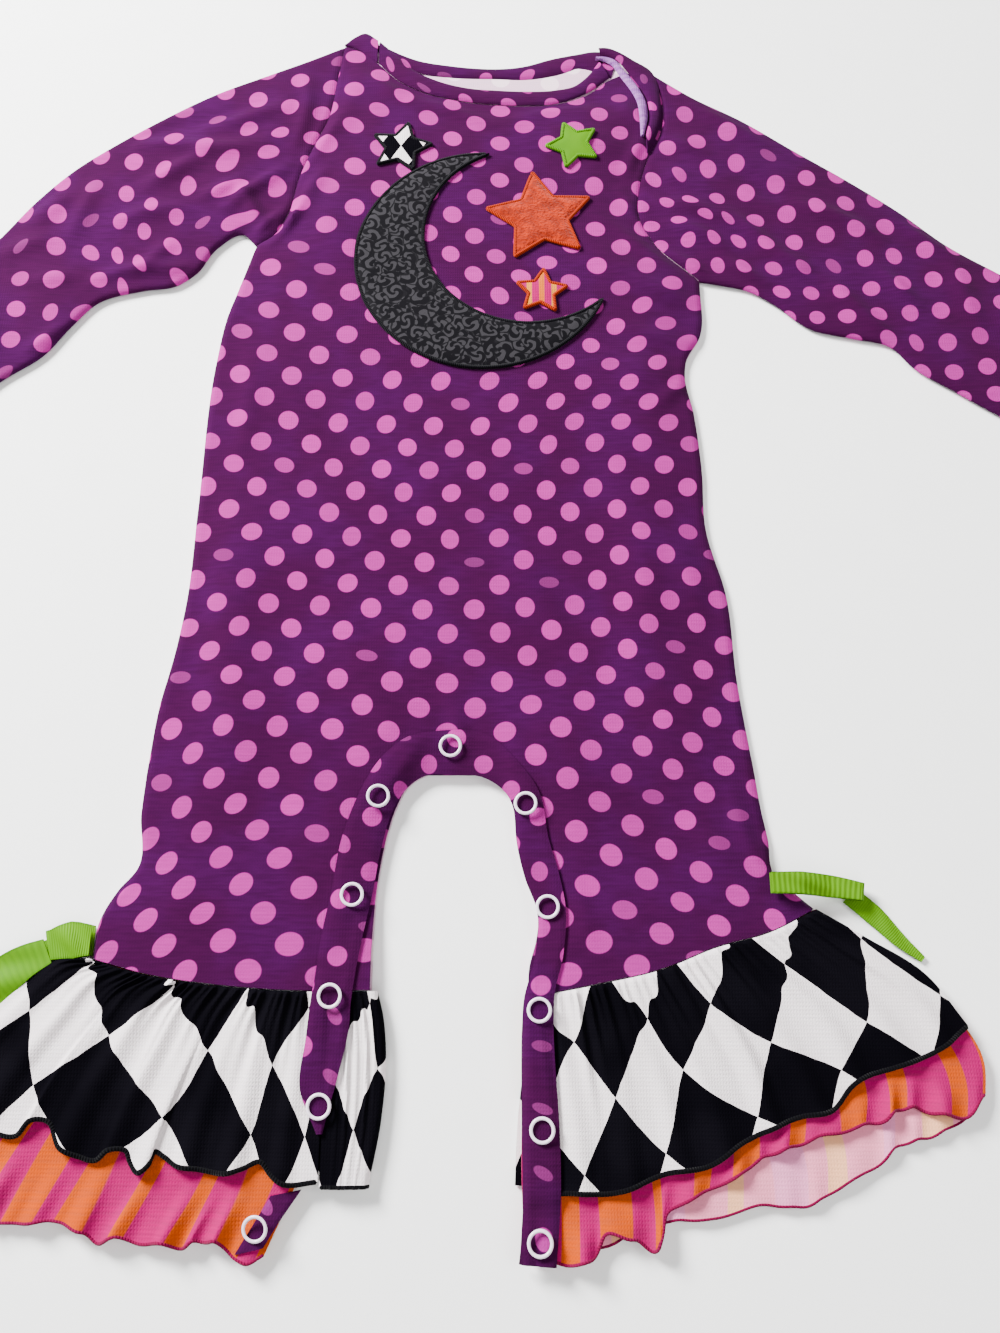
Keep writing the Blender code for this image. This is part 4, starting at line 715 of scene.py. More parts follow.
# ---- The neck ----
# A folded band of the same jersey round the front and the back of the neck, and shoulders that lap
# over each other. The right lap is turned up, so that its pale inner face shows along the edge.
NECK_FRONT_UPPER = [(-63.5, 347), (-54, 337), (-45, 327.5), (-33, 320.6), (-19, 316), (-2, 314), (12, 313.3),
                    (28, 314), (39, 317), (45, 322.5), (52, 333)]
NECK_FRONT_LOWER = [(-63.5, 332), (-55, 322.5), (-40, 313), (-22, 307.6), (-2, 304.6), (14, 304), (29, 305.2),
                    (46, 312.6), (57, 322)]
NECK_BACK_UPPER = [(-67, 347.5), (-60, 344.5), (-52, 340), (-43, 336), (-28.5, 332.8), (12.7, 332), (27.5, 337),
                   (42, 340.5), (49, 342), (56, 341.4), (62, 338.5)]
NECK_BACK_LOWER = [(-64, 340.5), (-55, 334.8), (-44, 328.3), (-26, 324.6), (-2, 323.6), (14, 323.2), (31, 326.6),
                   (41, 329.5), (50, 327), (58, 322.5)]
BAND_WALL = 0.8
BAND_BACK_SEAT = 0.9
BAND_FRONT_SEAT = 2.7
LAP_LEFT_UPPER = [(-82, 344.8), (-77, 350.5), (-72, 353.3), (-64.5, 348.5)]
LAP_LEFT_LOWER = [(-82, 344.2), (-75, 342), (-69, 337), (-64.5, 333.5)]
LAP_RIGHT_OUTER = [(52, 342.3), (56, 342.4), (62.5, 339.6), (70.7, 333.5), (78, 327.8), (83, 307), (81, 287),
                   (75, 273)]
LAP_RIGHT_INNER = [(52.5, 337), (56, 336.6), (60, 335), (66, 327), (71.5, 317), (76, 306), (76.6, 296), (74, 282)]
LAP_EDGE_OUTER = [(50.5, 335.5), (55.5, 335.6), (59.5, 334.2), (65.3, 326.4), (70.8, 316.6), (75.2, 305.8),
                  (75.8, 296), (73.2, 282)]
LAP_EDGE_INNER = [(50, 334), (55, 332.8), (58, 330.8), (62.5, 323), (67, 314), (70.6, 304), (71.2, 295), (71.6, 282)]
LAP_WALL = 0.7
LAP_LEFT_WALL = 0.9
LAP_LEFT_SEAT = 2.2
LAP_REACH = 1.6
LAP_LAVENDER = (0.17, 0.055, 0.225, 1.0)
LAP_STREAK = (0.26, 0.11, 0.31, 1.0)


def surface_of(*pieces):
    """Give pieces' surfaces, for laying others on them."""
    depsgraph = bpy.context.evaluated_depsgraph_get()
    return [BVHTree.FromObject(piece, depsgraph) for piece in pieces]


def top_over(surfaces, plan, reach, floor):
    """Find the highest point of surfaces within reach of each plan point, in millimetres."""
    tops = np.full(len(plan), float(floor))
    ring = [(0.0, 0.0)] + [(reach * math.cos(k * math.pi / 4), reach * math.sin(k * math.pi / 4)) for k in range(8)]
    for k, (x, y) in enumerate(plan):
        for dx, dy in ring:
            for surface in surfaces:
                spot = surface.ray_cast(Vector(((x + dx) * MM, (y + dy) * MM, 1.0)), Vector((0, 0, -1)))[0]
                if spot:
                    tops[k] = max(tops[k], spot.z / MM)
    return tops


def band(name, outer, inner, columns, strips, height, crown, start=(0.0, 0.0)):
    """Make a strip between two curves, rounded up across its width by crown: height(plan) gives its seat."""
    upper, lower = curve_through(outer), curve_through(inner)
    length = steps_of(upper(np.linspace(0, 1, 60))).sum()

    def place(u, v):
        plan = (1 - v)[:, None] * upper(u) + v[:, None] * lower(u)
        swell = np.sqrt(np.clip(1 - (2 * v - 1) ** 2, 0, 1))
        return np.c_[plan, height(plan) + crown * swell]

    def prints(u, v, placed):
        width = np.linalg.norm(upper(u) - lower(u), axis=1)
        return np.c_[u * length / PRINT_REPEAT[0] + start[0], -v * width / PRINT_REPEAT[1] + start[1]]

    return cloth_grid(name, columns, strips, place, prints)


neck_jersey = dotted_jersey("dot_jersey_trim", squashed=0.35, radius=4.0)
band_back = band("neck_band_behind", NECK_BACK_UPPER, NECK_BACK_LOWER, 90, 8,
                 lambda plan: np.full(len(plan), BAND_BACK_SEAT), 1.1, start=(0.2, 0.35))
give_wall(band_back, BAND_WALL, INWARDS, neck_jersey)
settle(band_back, "neck_band_back")
band_front = band("neck_band_before", NECK_FRONT_UPPER, NECK_FRONT_LOWER, 130, 12,
                  lambda plan: np.full(len(plan), BAND_FRONT_SEAT), 1.2, start=(0.6, 0.45))
give_wall(band_front, BAND_WALL, INWARDS, neck_jersey)
settle(band_front, "neck_band_front")

shoulder_seat = surface_of(front, band_front)
lap_plan = patch(straight(LAP_LEFT_UPPER[0], LAP_LEFT_LOWER[0]), straight(LAP_LEFT_UPPER[-1], LAP_LEFT_LOWER[-1]),
                 curve_through(LAP_LEFT_UPPER), curve_through(LAP_LEFT_LOWER))


def lap_place(u, v):
    """Give the left lap: a low roll over the shoulder."""
    swell = np.sqrt(np.clip(1 - (2 * v - 1) ** 2, 0, 1))
    return np.c_[lap_plan(u, v), LAP_LEFT_SEAT + swell]


lap_left = cloth_grid("shoulder_over_left", 24, 14, lap_place, body_prints)
give_wall(lap_left, LAP_LEFT_WALL, INWARDS, jersey)
settle(lap_left, "shoulder_lap_left")


def over_shoulder(plan):
    """Seat the right lap on what lies beneath it."""
    return top_over(shoulder_seat, plan, LAP_REACH, FRONT_FACE) + SEAM_GAP


lap_right = band("shoulder_over_right", LAP_RIGHT_OUTER, LAP_RIGHT_INNER, 80, 6, over_shoulder, 1.3, start=(0.35, 0.3))
give_wall(lap_right, LAP_WALL, INWARDS, neck_jersey)
settle(lap_right, "shoulder_lap_right")
lap_pale, tree, shader = new_finish("dot_jersey_turned_edge", LAP_LAVENDER, 0.85)
yarn = yarn_in(tree)
dress(tree, shader, blended(tree, yarn["Streak"], LAP_LAVENDER, LAP_STREAK), yarn["Height"], 0.4, 0.0005)
lap_edge = band("shoulder_turned_edge", LAP_EDGE_OUTER, LAP_EDGE_INNER, 80, 8, over_shoulder, 1.5)
give_wall(lap_edge, LAP_WALL, INWARDS, lap_pale)
settle(lap_edge, "lap_edge_right")

# ---- The ruffles ----
# Each leg ends in two gathered layers: a harlequin print with a black rolled hem over an orange and
# pink stripe with a lettuce edge. Both are sewn into the leg seam and go round the leg.
RUFFLE_CLOTH = 0.9
CUT_GAP = 0.45
HARLEQUIN_SIDE_LEFT = [(-160.5, -121.6), (-173, -122), (-182, -129), (-197, -143), (-207, -157)]
HARLEQUIN_HEM_LEFT = [(-207, -157), (-200, -172), (-188, -183.5), (-179.8, -184.7), (-174, -179), (-168, -180),
                      (-165, -185), (-162.6, -188.4), (-156, -191.5), (-149.2, -193), (-144, -189.2), (-138.2, -189.8),
                      (-136.3, -193.6), (-132.6, -197), (-129.2, -194.5), (-127.7, -190), (-123.7, -191.9),
                      (-119.6, -194.5), (-111.9, -195.8), (-100.4, -197.2), (-94.5, -195.6), (-88.4, -193.5),
                      (-84.5, -197.5), (-80, -200.6), (-66.9, -200.2)]
HARLEQUIN_SIDE_RIGHT = [(125.5, -102.6), (143, -113), (165, -127), (179, -146)]
HARLEQUIN_HEM_RIGHT = [(12, -205), (24, -204), (41, -204), (63, -197), (77, -195), (88, -188), (99, -183),
                       (113, -178), (124, -176), (134, -166), (149, -161), (166, -155), (179, -146)]
STRIPE_SIDE_LEFT = [(-160.5, -121.9), (-178, -131), (-200, -152), (-212, -178)]
STRIPE_HEM_LEFT = [(-212, -178), (-203, -198), (-192, -210), (-182, -213.7), (-173.5, -214.1), (-165, -213),
                   (-158.5, -214.3), (-150.6, -217.3), (-146, -220.2), (-137.4, -218.4), (-130.6, -220.2),
                   (-121.3, -220.8), (-115.6, -221.6), (-110, -220.2), (-103.7, -219.6), (-99.8, -221.6),
                   (-95.8, -225), (-91, -227.5), (-85, -224)]
STRIPE_SIDE_RIGHT = [(125.5, -102.9), (150, -120), (172, -138), (184, -160), (183, -170)]
STRIPE_HEM_RIGHT = [(9, -226), (22, -227), (33, -226), (38, -218), (48, -219), (56, -223), (61, -211), (72, -205),
                    (84, -200), (98, -192), (113, -187), (127, -183), (141, -180), (152, -175), (163, -177),
                    (175, -178), (183, -170)]
STRIPE_BACK_HEM_RIGHT = [(9, -225), (30, -224), (61, -214), (80, -213), (94, -209), (113, -209), (127, -202),
                         (138, -197), (149, -189), (161, -186), (174, -180), (183, -171)]
WRAP_FOLD = [(-52, -133.8), (-47.5, -143), (-46, -157), (-47, -179), (-51, -202)]
WRAP_END_X = -66.3
# Gathers of a front ruffle: place along, half width, height at the hem
GATHERS_LEFT = [(0.05, 0.040, 1.4), (0.15, 0.045, 1.8), (0.27, 0.040, 1.5), (0.38, 0.050, 2.0), (0.49, 0.040, 1.6),
                (0.59, 0.045, 2.1), (0.70, 0.040, 1.7), (0.80, 0.045, 2.2), (0.92, 0.040, 1.6)]
GATHERS_RIGHT = [(0.10, 0.040, 1.6), (0.20, 0.045, 2.0), (0.31, 0.040, 1.6), (0.41, 0.050, 2.2), (0.52, 0.040, 1.6),
                 (0.62, 0.045, 1.9), (0.73, 0.045, 1.5), (0.84, 0.050, 1.8), (0.94, 0.035, 1.3)]
HEM_WAVES_LEFT = [(0.06, 0.040, 2.2), (0.17, 0.045, 1.8), (0.28, 0.040, 2.4), (0.40, 0.045, 1.9),
                  (0.51, 0.040, 2.3), (0.62, 0.045, 1.9), (0.74, 0.040, 2.5), (0.86, 0.045, 2.0)]
HEM_WAVES_RIGHT = [(0.11, 0.035, 2.3), (0.20, 0.035, 2.6), (0.29, 0.035, 2.4), (0.38, 0.040, 1.9),
                   (0.48, 0.040, 2.3), (0.58, 0.040, 1.9), (0.68, 0.040, 2.2), (0.79, 0.040, 2.0),
                   (0.90, 0.040, 2.4)]
# Where four diamonds meet: plan x and y, then steps across and steps down
DIAMONDS_LEFT = [
    (-159, -123, -1, 1), (-127.2, -131.5, 1, 1), (-98.5, -132.6, 3, 1), (-73.5, -139.6, 5, 1), (-50, -138, 7, 1),
    (-180.2, -140.3, -2, 0), (-149.4, -149.6, 0, 0), (-110.7, -155.0, 2, 0), (-85.8, -160.2, 4, 0),
    (-65, -158, 6, 0), (-46, -161, 8, 0), (-175.5, -167.2, -1, -1), (-125.3, -178.4, 1, -1), (-92.4, -184.3, 3, -1),
    (-72.5, -185, 5, -1), (-54.5, -182.9, 7, -1)]
DIAMONDS_RIGHT = [
    (27.4, -152.1, 0, 0), (55.8, -143.7, 2, 0), (81.4, -137.6, 4, 0), (111.6, -123.2, 6, 0), (141.9, -113.8, 8, 0),
    (43.3, -171.8, 1, -1), (69.1, -161.8, 3, -1), (102.9, -152.1, 5, -1), (140.0, -144.8, 7, -1),
    (30.9, -198.0, 0, -2), (61.3, -190.8, 2, -2), (95.8, -178.1, 4, -2), (128.7, -161.8, 6, -2)]
# Added to the counts of the print, so that none falls below nought
DIAMONDS_FROM = 100.0
HARLEQUIN_BLACK = (0.0013, 0.0011, 0.002, 1.0)
HARLEQUIN_FADED = (0.0030, 0.0026, 0.0042, 1.0)
HARLEQUIN_WHITE = (0.7, 0.64, 0.65, 1.0)
HARLEQUIN_GREYED = (0.58, 0.49, 0.52, 1.0)
STRIPE_ORANGE = (0.385, 0.048, 0.0002, 1.0)
STRIPE_PINK = (0.285, 0.0005, 0.078, 1.0)
STRIPE_PALE_PEACH = (0.7, 0.34, 0.19, 1.0)
STRIPE_PALE_PINK = (0.68, 0.21, 0.31, 1.0)
STRIPE_PALE_LILAC = (0.62, 0.21, 0.37, 1.0)
LETTUCE_THREAD = (0.15, 0.0005, 0.035, 1.0)
STRIPE_PAIR_LEFT = 20.0
STRIPE_PAIR_RIGHT = 21.0
scatter = np.random.default_rng(11)


def wave(u, rows):
    """Add up the bumps of a gather table along a ruffle."""
    height = np.zeros(len(u))
    for place, half_width, rise in rows:
        away = np.clip(np.abs(u - place) / half_width, 0, 1)
        height += rise * np.cos(0.5 * np.pi * away) ** 2
    return height


def seam_pleats(count):
    """Scatter the small pleats of a gathered seam: place along, half width, height, how far down each runs."""
    places = (np.arange(count) + 0.5 + scatter.uniform(-0.35, 0.35, count)) / count
    return np.c_[places, scatter.uniform(0.22, 0.42, count) / count, scatter.uniform(0.8, 2.1, count),
                 scatter.uniform(0.18, 0.75, count), scatter.uniform(-0.03, 0.03, count)]


def pressed_seam():
    """Draw one pleat and press it flat, for a layer whose seam doesn't show."""
    return seam_pleats(1) * 0 + TINY


def pleat_height(u, v, pleats):
    """Add up seam pleats: sharp at the seam, wider and lower down the ruffle."""
    height = np.zeros(len(u))
    for place, half_width, rise, run, slant in pleats:
        spread = half_width * (1 + 1.6 * v)
        height += rise * np.exp(-((u - place - slant * v) / spread) ** 2) * np.exp(-(v / run) ** 2)
    return height


def ruffle_cut(seam, side, hem, inner, flip):
    """Give the plan of a ruffle between the leg seam, its outer side, its hem and its inner side; flip starts it
    at the inner side."""
    if flip:
        return patch(curve_through(inner), curve_through(side), seam, curve_through(hem))
    return patch(curve_through(side), curve_through(inner), seam, curve_through(hem))


def starting(points, first):
    """Start a side exactly at the seam's own end."""
    return [tuple(first)] + list(points[1:])


def odd_one(tree, first, second):
    """Say which squares of a checked print are the odd ones."""
    steps = reckon(tree, "ADD", reckon(tree, "FLOOR", first), reckon(tree, "FLOOR", second))
    return reckon(tree, "MODULO", steps, 2.0)


def harlequin_finish(name, black_on):
    """Make the harlequin print: the piece's print map counts its diamonds, and black_on picks which are black."""
    finish, tree, shader = new_finish(name, HARLEQUIN_WHITE, 0.85, 0.0)
    yarn = yarn_in(tree)
    shake = add_node(tree, "TexNoise", {"Vector": place_of(tree, "cut"), "Scale": 120.0, "Detail": 2.0})
    jitter = add_node(tree, "VectorMath", {0: shake.outputs["Color"], 1: (0.5, 0.5, 0.5)}, operation="SUBTRACT")
    eased_edge = add_node(tree, "VectorMath", {0: jitter.outputs[0], "Scale": 0.035}, operation="SCALE")
    place = add_node(tree, "VectorMath", {0: place_of(tree, "print"), 1: eased_edge.outputs[0]}, operation="ADD")
    shift = add_node(tree, "VectorMath", {0: place.outputs[0], 1: (DIAMONDS_FROM + black_on, DIAMONDS_FROM, 0.0)},
                     operation="ADD")
    parts = add_node(tree, "SeparateXYZ", {0: shift.outputs[0]}).outputs
    odd = odd_one(tree, parts["X"], parts["Y"])
    white = blended(tree, reckon(tree, "MULTIPLY", yarn["Streak"], 0.25), HARLEQUIN_WHITE, HARLEQUIN_GREYED)
    black = blended(tree, reckon(tree, "MULTIPLY", yarn["Cloud"], 0.6), HARLEQUIN_BLACK, HARLEQUIN_FADED)
    dress(tree, shader, blended(tree, odd, black, white), yarn["Height"])
    return finish


def stripe_finish(name, first, second, third, streaked, pairs=1.0):
    """Make a striped cloth with so many stripe pairs to the print map's unit: third takes the first colour's
    place in every other pair, and streaked is how dark its streaks are."""
    finish, tree, shader = new_finish(name, first, 0.85)
    yarn = yarn_in(tree)
    parts = add_node(tree, "SeparateXYZ", {0: place_of(tree, "print")}).outputs
    along = reckon(tree, "MULTIPLY", parts["X"], pairs)
    mask = eased(tree, reckon(tree, "PINGPONG", reckon(tree, "FRACT", along), 0.5), 0.20, 0.225)
    pair = reckon(tree, "MODULO", reckon(tree, "FLOOR", reckon(tree, "ADD", along, 100.5)), 2.0)
    colour = blended(tree, mask, blended(tree, pair, first, third), second)
    shade = add_node(tree, "HueSaturation", {"Color": colour, "Value": streaked, "Saturation": 0.95})
    uneven = blended(tree, reckon(tree, "MULTIPLY", yarn["Streak"], 0.5), colour, shade.outputs[0])
    dress(tree, shader, uneven, yarn["Height"])
    return finish


def diamond_steps(chart):
    """Turn a chart of corners into the print map, whose whole numbers are the diamonds' edges."""
    steps = charted(chart)

    def prints(u, v, placed):
        sway = 1.5 * np.sin(u * 74.0 + 1.6 * np.sin(u * 17.0)) * np.exp(-(v / 0.34) ** 2)
        across, down = steps(placed[:, :2] + np.c_[sway, 0.3 * sway]).T
        return np.c_[0.5 * (across + down), 0.5 * (across - down)]

    return prints


def stripes_along(hem, pair, lean=0.25, sway=0.12):
    """Count stripe pairs along a hem, leaning a little and swaying in the gathers."""
    length = steps_of(curve_through(hem)(np.linspace(0, 1, 90))).sum()
    return lambda u, v, placed: np.c_[u * length / pair + lean * v + sway * np.sin(u * 37.0 + 3.0 * v), v]


def unit(rows):
    """Bring each row of directions to a length of one."""
    return rows / np.linalg.norm(rows, axis=1)[:, None]


def rounded_edge(name, path, radius, finish):
    """Make a rolled or stitched edge: a round thread of cloth along a path of x, y and z, closed at its ends."""
    along = np.concatenate([[0.0], np.cumsum(steps_of(path))])
    heading = unit(np.gradient(path, axis=0))
    side = unit(np.cross(heading, [0.0, 0.0, 1.0]))
    above = np.cross(side, heading)
    taper = np.clip(np.minimum(along, along[-1] - along) / radius, 0, 1)
    taper = np.sqrt(1 - (1 - taper) ** 2)

    def place(u, v):
        k = np.clip(np.rint(u * (len(path) - 1)).astype(int), 0, len(path) - 1)
        turn = (2 * np.pi * v)[:, None]
        reach = (radius * taper[k])[:, None]
        return path[k] + reach * (np.cos(turn) * side[k] + np.sin(turn) * above[k])

    def prints(u, v, placed):
        return np.c_[np.interp(u * (len(path) - 1), np.arange(len(path)), along) / 1000, v]

    piece = cloth_grid(name, len(path) - 1, 8, place, prints)
    piece.data.materials.append(finish)
    close_seams()
    bpy.ops.object.shade_smooth_by_angle(angle=math.radians(60))
    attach(piece, "root")
    return piece


def thread_finish(name, colour, groove_shade, turns=900.0, roughness=0.6):
    """Make an overlocked edge: threads wound round it side by side, so many turns to the metre, with painted shade in
    the grooves between the turns.
    """
    finish, tree, shader = new_finish(name, colour, roughness, 0.05)
    parts = add_node(tree, "SeparateXYZ", {0: place_of(tree, "print")}).outputs
    wind = reckon(tree, "SINE", reckon(tree, "MULTIPLY_ADD", parts["X"], turns * 2 * math.pi,
                                       reckon(tree, "MULTIPLY", parts["Y"], 2 * math.pi)))
    # Painted shade: the grooves between the thread's turns take the darker groove colour as well as the bump
    dress(tree, shader, blended(tree, eased(tree, wind, -0.8, 0.6), groove_shade, colour), wind, 0.5, 0.0003)
    return finish


harlequin_left = harlequin_finish("harlequin_cloth_left", 1.0)
harlequin_right = harlequin_finish("harlequin_cloth_right", 0.0)
stripes = stripe_finish("stripe_cloth_right_side", STRIPE_ORANGE, STRIPE_PINK, STRIPE_ORANGE, 0.72)
pale_stripes = stripe_finish("stripe_cloth_wrong_side", STRIPE_PALE_PEACH, STRIPE_PALE_PINK, STRIPE_PALE_LILAC, 0.88)
black_edge = thread_finish("black_rolled_hem", (0.0020, 0.0018, 0.003, 1.0), (0.0008, 0.0008, 0.001, 1.0))
pink_edge = thread_finish("pink_lettuce_edge", LETTUCE_THREAD, (0.12, 0.0008, 0.028, 1.0))

seam_left = moved(curve_through(LEG_HEM_LEFT), 0.0, -CUT_GAP)
seam_right = moved(curve_through(LEG_HEM_RIGHT), 0.0, -CUT_GAP)
front_share = (WRAP_END_X - 0.6 - LEG_HEM_LEFT[0][0]) / (LEG_HEM_LEFT[-1][0] - LEG_HEM_LEFT[0][0])
short_left = lambda share: seam_left(front_share * np.asarray(share, float))
left_diamonds = diamond_steps(DIAMONDS_LEFT)
right_diamonds = diamond_steps(DIAMONDS_RIGHT)


def edge_path(place, count, drop, first=0.0):
    """Walk along a ruffle's hem, a little below its face."""
    path = place(np.linspace(first, 1.0, count), np.ones(count))
    path[:, 2] -= drop
    return path


def ruffle(name, node, cut, grid, level, hem_rows, swell_from, pleats, prints, cloths,
           flutter=0.0, turns=18.0, wall=RUFFLE_CLOTH, edge=None):
    """Make a ruffle layer in gathers: grid is its columns and rows, hem_rows its broad waves from swell_from down,
    and flutter and turns the height and number of its fine hem waves. Its hem is rolled or stitched where there
    is an edge: the edge's name, its points, how far below the face it runs, its radius and its finish."""
    def place(u, v):
        swell = smooth((v - swell_from) / (1 - swell_from))
        height = level + RUFFLE_WALL + wave(u, hem_rows) * swell + pleat_height(u, v, pleats) * smooth(v / 0.03 + 0.25)
        plan = cut(u, v)
        phase = 2 * np.pi * (turns * u + 0.35 * np.sin(5.1 * u) + 0.22 * np.sin(23.0 * u))
        fine = smooth((v - 0.80) / 0.20) * (0.65 + 0.35 * np.sin(9.0 * u + 1.0))
        height += flutter * fine * (1 + np.cos(phase))
        plan[:, 0] -= 0.35 * flutter * fine * np.sin(phase)
        plan[:, 1] += 0.75 * flutter * fine * np.sin(phase + 0.7)
        return np.c_[plan, height]

    piece = cloth_grid(name, *grid, place, prints)
    edges = []
    if edge:
        edge_name, count, drop, radius, finish = edge
        edges = [rounded_edge(edge_name, edge_path(place, count, drop), radius, finish)]
    give_wall(piece, wall, INWARDS, *cloths)
    settle(piece, node)
    return piece


# The left leg's back layer, which wraps over the inside of the leg to the front
fold_curve = curve_through(starting(WRAP_FOLD, seam_left(1.0)))
wrap_flat = patch(curve_through(starting(HARLEQUIN_SIDE_LEFT, seam_left(0.0))), fold_curve, seam_left,
                  straight(HARLEQUIN_HEM_LEFT[0], WRAP_FOLD[-1]))
WRAP_LOW = 0.5 * RUFFLE_WALL
WRAP_HIGH = HARLEQUIN_FRONT_LEVEL + 0.5 * RUFFLE_WALL
WRAP_FLAT_SHARE = 0.60
WRAP_ARC_SHARE = 0.10
WRAP_FANS = [(0.10, 0.05, 0.8), (0.26, 0.05, 1.1), (0.45, 0.06, 0.8), (0.62, 0.05, 1.2), (0.80, 0.06, 0.7)]


def wrap_place(u, v):
    """Give the wrapped layer: flat beneath, round the fold, then back on top with small fans from the seam."""
    radius = 0.5 * (WRAP_HIGH - WRAP_LOW)
    flat_plan = wrap_flat(np.clip(u / WRAP_FLAT_SHARE, 0, 1), v)
    fold = fold_curve(v)
    turn = np.pi * np.clip((u - WRAP_FLAT_SHARE) / WRAP_ARC_SHARE, 0, 1)
    over = np.clip((u - WRAP_FLAT_SHARE - WRAP_ARC_SHARE) / (1 - WRAP_FLAT_SHARE - WRAP_ARC_SHARE), 0, 1)
    x = fold[:, 0] + radius * np.sin(turn) + over * (WRAP_END_X - fold[:, 0])
    fans = wave(over + 0.10 * v, WRAP_FANS) * smooth(over / 0.12) * (0.25 + 0.75 * np.exp(-((v - 0.35) / 0.4) ** 2))
    z = WRAP_LOW + radius * (1 - np.cos(turn)) + fans + 0.6 * v * np.sin(np.pi * over) ** 2
    folded = np.c_[x, fold[:, 1], z]
    flat = np.c_[flat_plan, np.full(len(u), WRAP_LOW)]
    return np.where((u <= WRAP_FLAT_SHARE)[:, None], flat, folded)


wrapped = cloth_grid("harlequin_wrap_left", 150, 60, wrap_place, left_diamonds)
wrap_hem = rounded_edge("harlequin_wrap_hem", edge_path(wrap_place, 70, 0.1, 0.62), 0.9, black_edge)
give_wall(wrapped, RUFFLE_CLOTH, BOTH_WAYS, harlequin_left)
settle(wrapped, "harlequin_back_left")

# The left leg's other layers, from the table up
seam_end = tuple(short_left(1.0))
stripe_side = starting(STRIPE_SIDE_LEFT, seam_left(0.0))
stripe_inner = [seam_end, (-70, -160), (-75, -200), STRIPE_HEM_LEFT[-1]]
under_hem = [(x, y + 1.5) for x, y in STRIPE_HEM_LEFT]
ruffle("stripe_under_left", "stripe_back_left",
       ruffle_cut(short_left, stripe_side, under_hem, stripe_inner, False), (90, 24), STRIPE_BACK_LEVEL, [], 0.9,
       pressed_seam(), stripes_along(STRIPE_HEM_LEFT, STRIPE_PAIR_LEFT), [pale_stripes, stripes])
stripe_over_left = ruffle(
    "stripe_over_left", "stripe_front_left",
    ruffle_cut(short_left, stripe_side, STRIPE_HEM_LEFT, stripe_inner, False), (190, 44), STRIPE_FRONT_LEVEL,
    HEM_WAVES_LEFT, 0.72, pressed_seam(), stripes_along(STRIPE_HEM_LEFT, STRIPE_PAIR_LEFT), [stripes, pale_stripes],
    flutter=1.0, turns=13.0,
    edge=("lettuce_edge_left", 240, 0.3, 0.65, pink_edge))
harlequin_side = starting(HARLEQUIN_SIDE_LEFT, seam_left(0.0))
harlequin_over_left = ruffle(
    "harlequin_over_left", "harlequin_front_left",
    ruffle_cut(short_left, harlequin_side, HARLEQUIN_HEM_LEFT, [seam_end, HARLEQUIN_HEM_LEFT[-1]], False),
    (200, 70), HARLEQUIN_FRONT_LEVEL, GATHERS_LEFT, -0.3, seam_pleats(30), left_diamonds, [harlequin_left],
    edge=("rolled_hem_left", 240, 0.35, 1.0, black_edge))

# The right leg's layers, from the table up
start = tuple(seam_right(0.0))
back_inner = [start, (10, -150), (6.5, -182), (5.5, -202)]
back_hem = [(5.5, -202), (41, -203), (77, -193), (113, -177), (149, -160), (179, -146)]
harlequin_side = starting(HARLEQUIN_SIDE_RIGHT, seam_right(1.0))
stripe_side = starting(STRIPE_SIDE_RIGHT, seam_right(1.0))
stripe_inner = [start, (9, -160), (8, -200)]
ruffle("harlequin_under_right", "harlequin_back_right",
       ruffle_cut(seam_right, harlequin_side, back_hem, back_inner, True), (90, 24), 0.0, [], 0.9, pressed_seam(),
       right_diamonds, [harlequin_right], wall=0.95)
stripe_under_right = ruffle(
    "stripe_under_right", "stripe_back_right",
    ruffle_cut(seam_right, stripe_side, STRIPE_BACK_HEM_RIGHT, stripe_inner + [STRIPE_BACK_HEM_RIGHT[0]], True),
    (150, 36), STRIPE_BACK_LEVEL, [], 0.9, pressed_seam(), stripes_along(STRIPE_BACK_HEM_RIGHT, STRIPE_PAIR_RIGHT),
    [pale_stripes, stripes], flutter=0.6, turns=15.0,
    edge=("lettuce_edge_under_right", 240, 0.4, 0.6, pink_edge))
stripe_over_right = ruffle(
    "stripe_over_right", "stripe_front_right",
    ruffle_cut(seam_right, stripe_side, STRIPE_HEM_RIGHT, stripe_inner + [STRIPE_HEM_RIGHT[0]], True), (200, 44),
    STRIPE_FRONT_LEVEL, HEM_WAVES_RIGHT, 0.86, pressed_seam(), stripes_along(STRIPE_HEM_RIGHT, STRIPE_PAIR_RIGHT),
    [stripes, pale_stripes], flutter=0.9, turns=17.0,
    edge=("lettuce_edge_right", 260, 0.3, 0.65, pink_edge))
harlequin_over_right = ruffle(
    "harlequin_over_right", "harlequin_front_right",
    ruffle_cut(seam_right, harlequin_side, HARLEQUIN_HEM_RIGHT, [start, (12, -170), HARLEQUIN_HEM_RIGHT[0]], True),
    (210, 70), HARLEQUIN_FRONT_LEVEL, GATHERS_RIGHT, -0.3, seam_pleats(34), right_diamonds, [harlequin_right],
    edge=("rolled_hem_right", 260, 0.35, 1.0, black_edge))

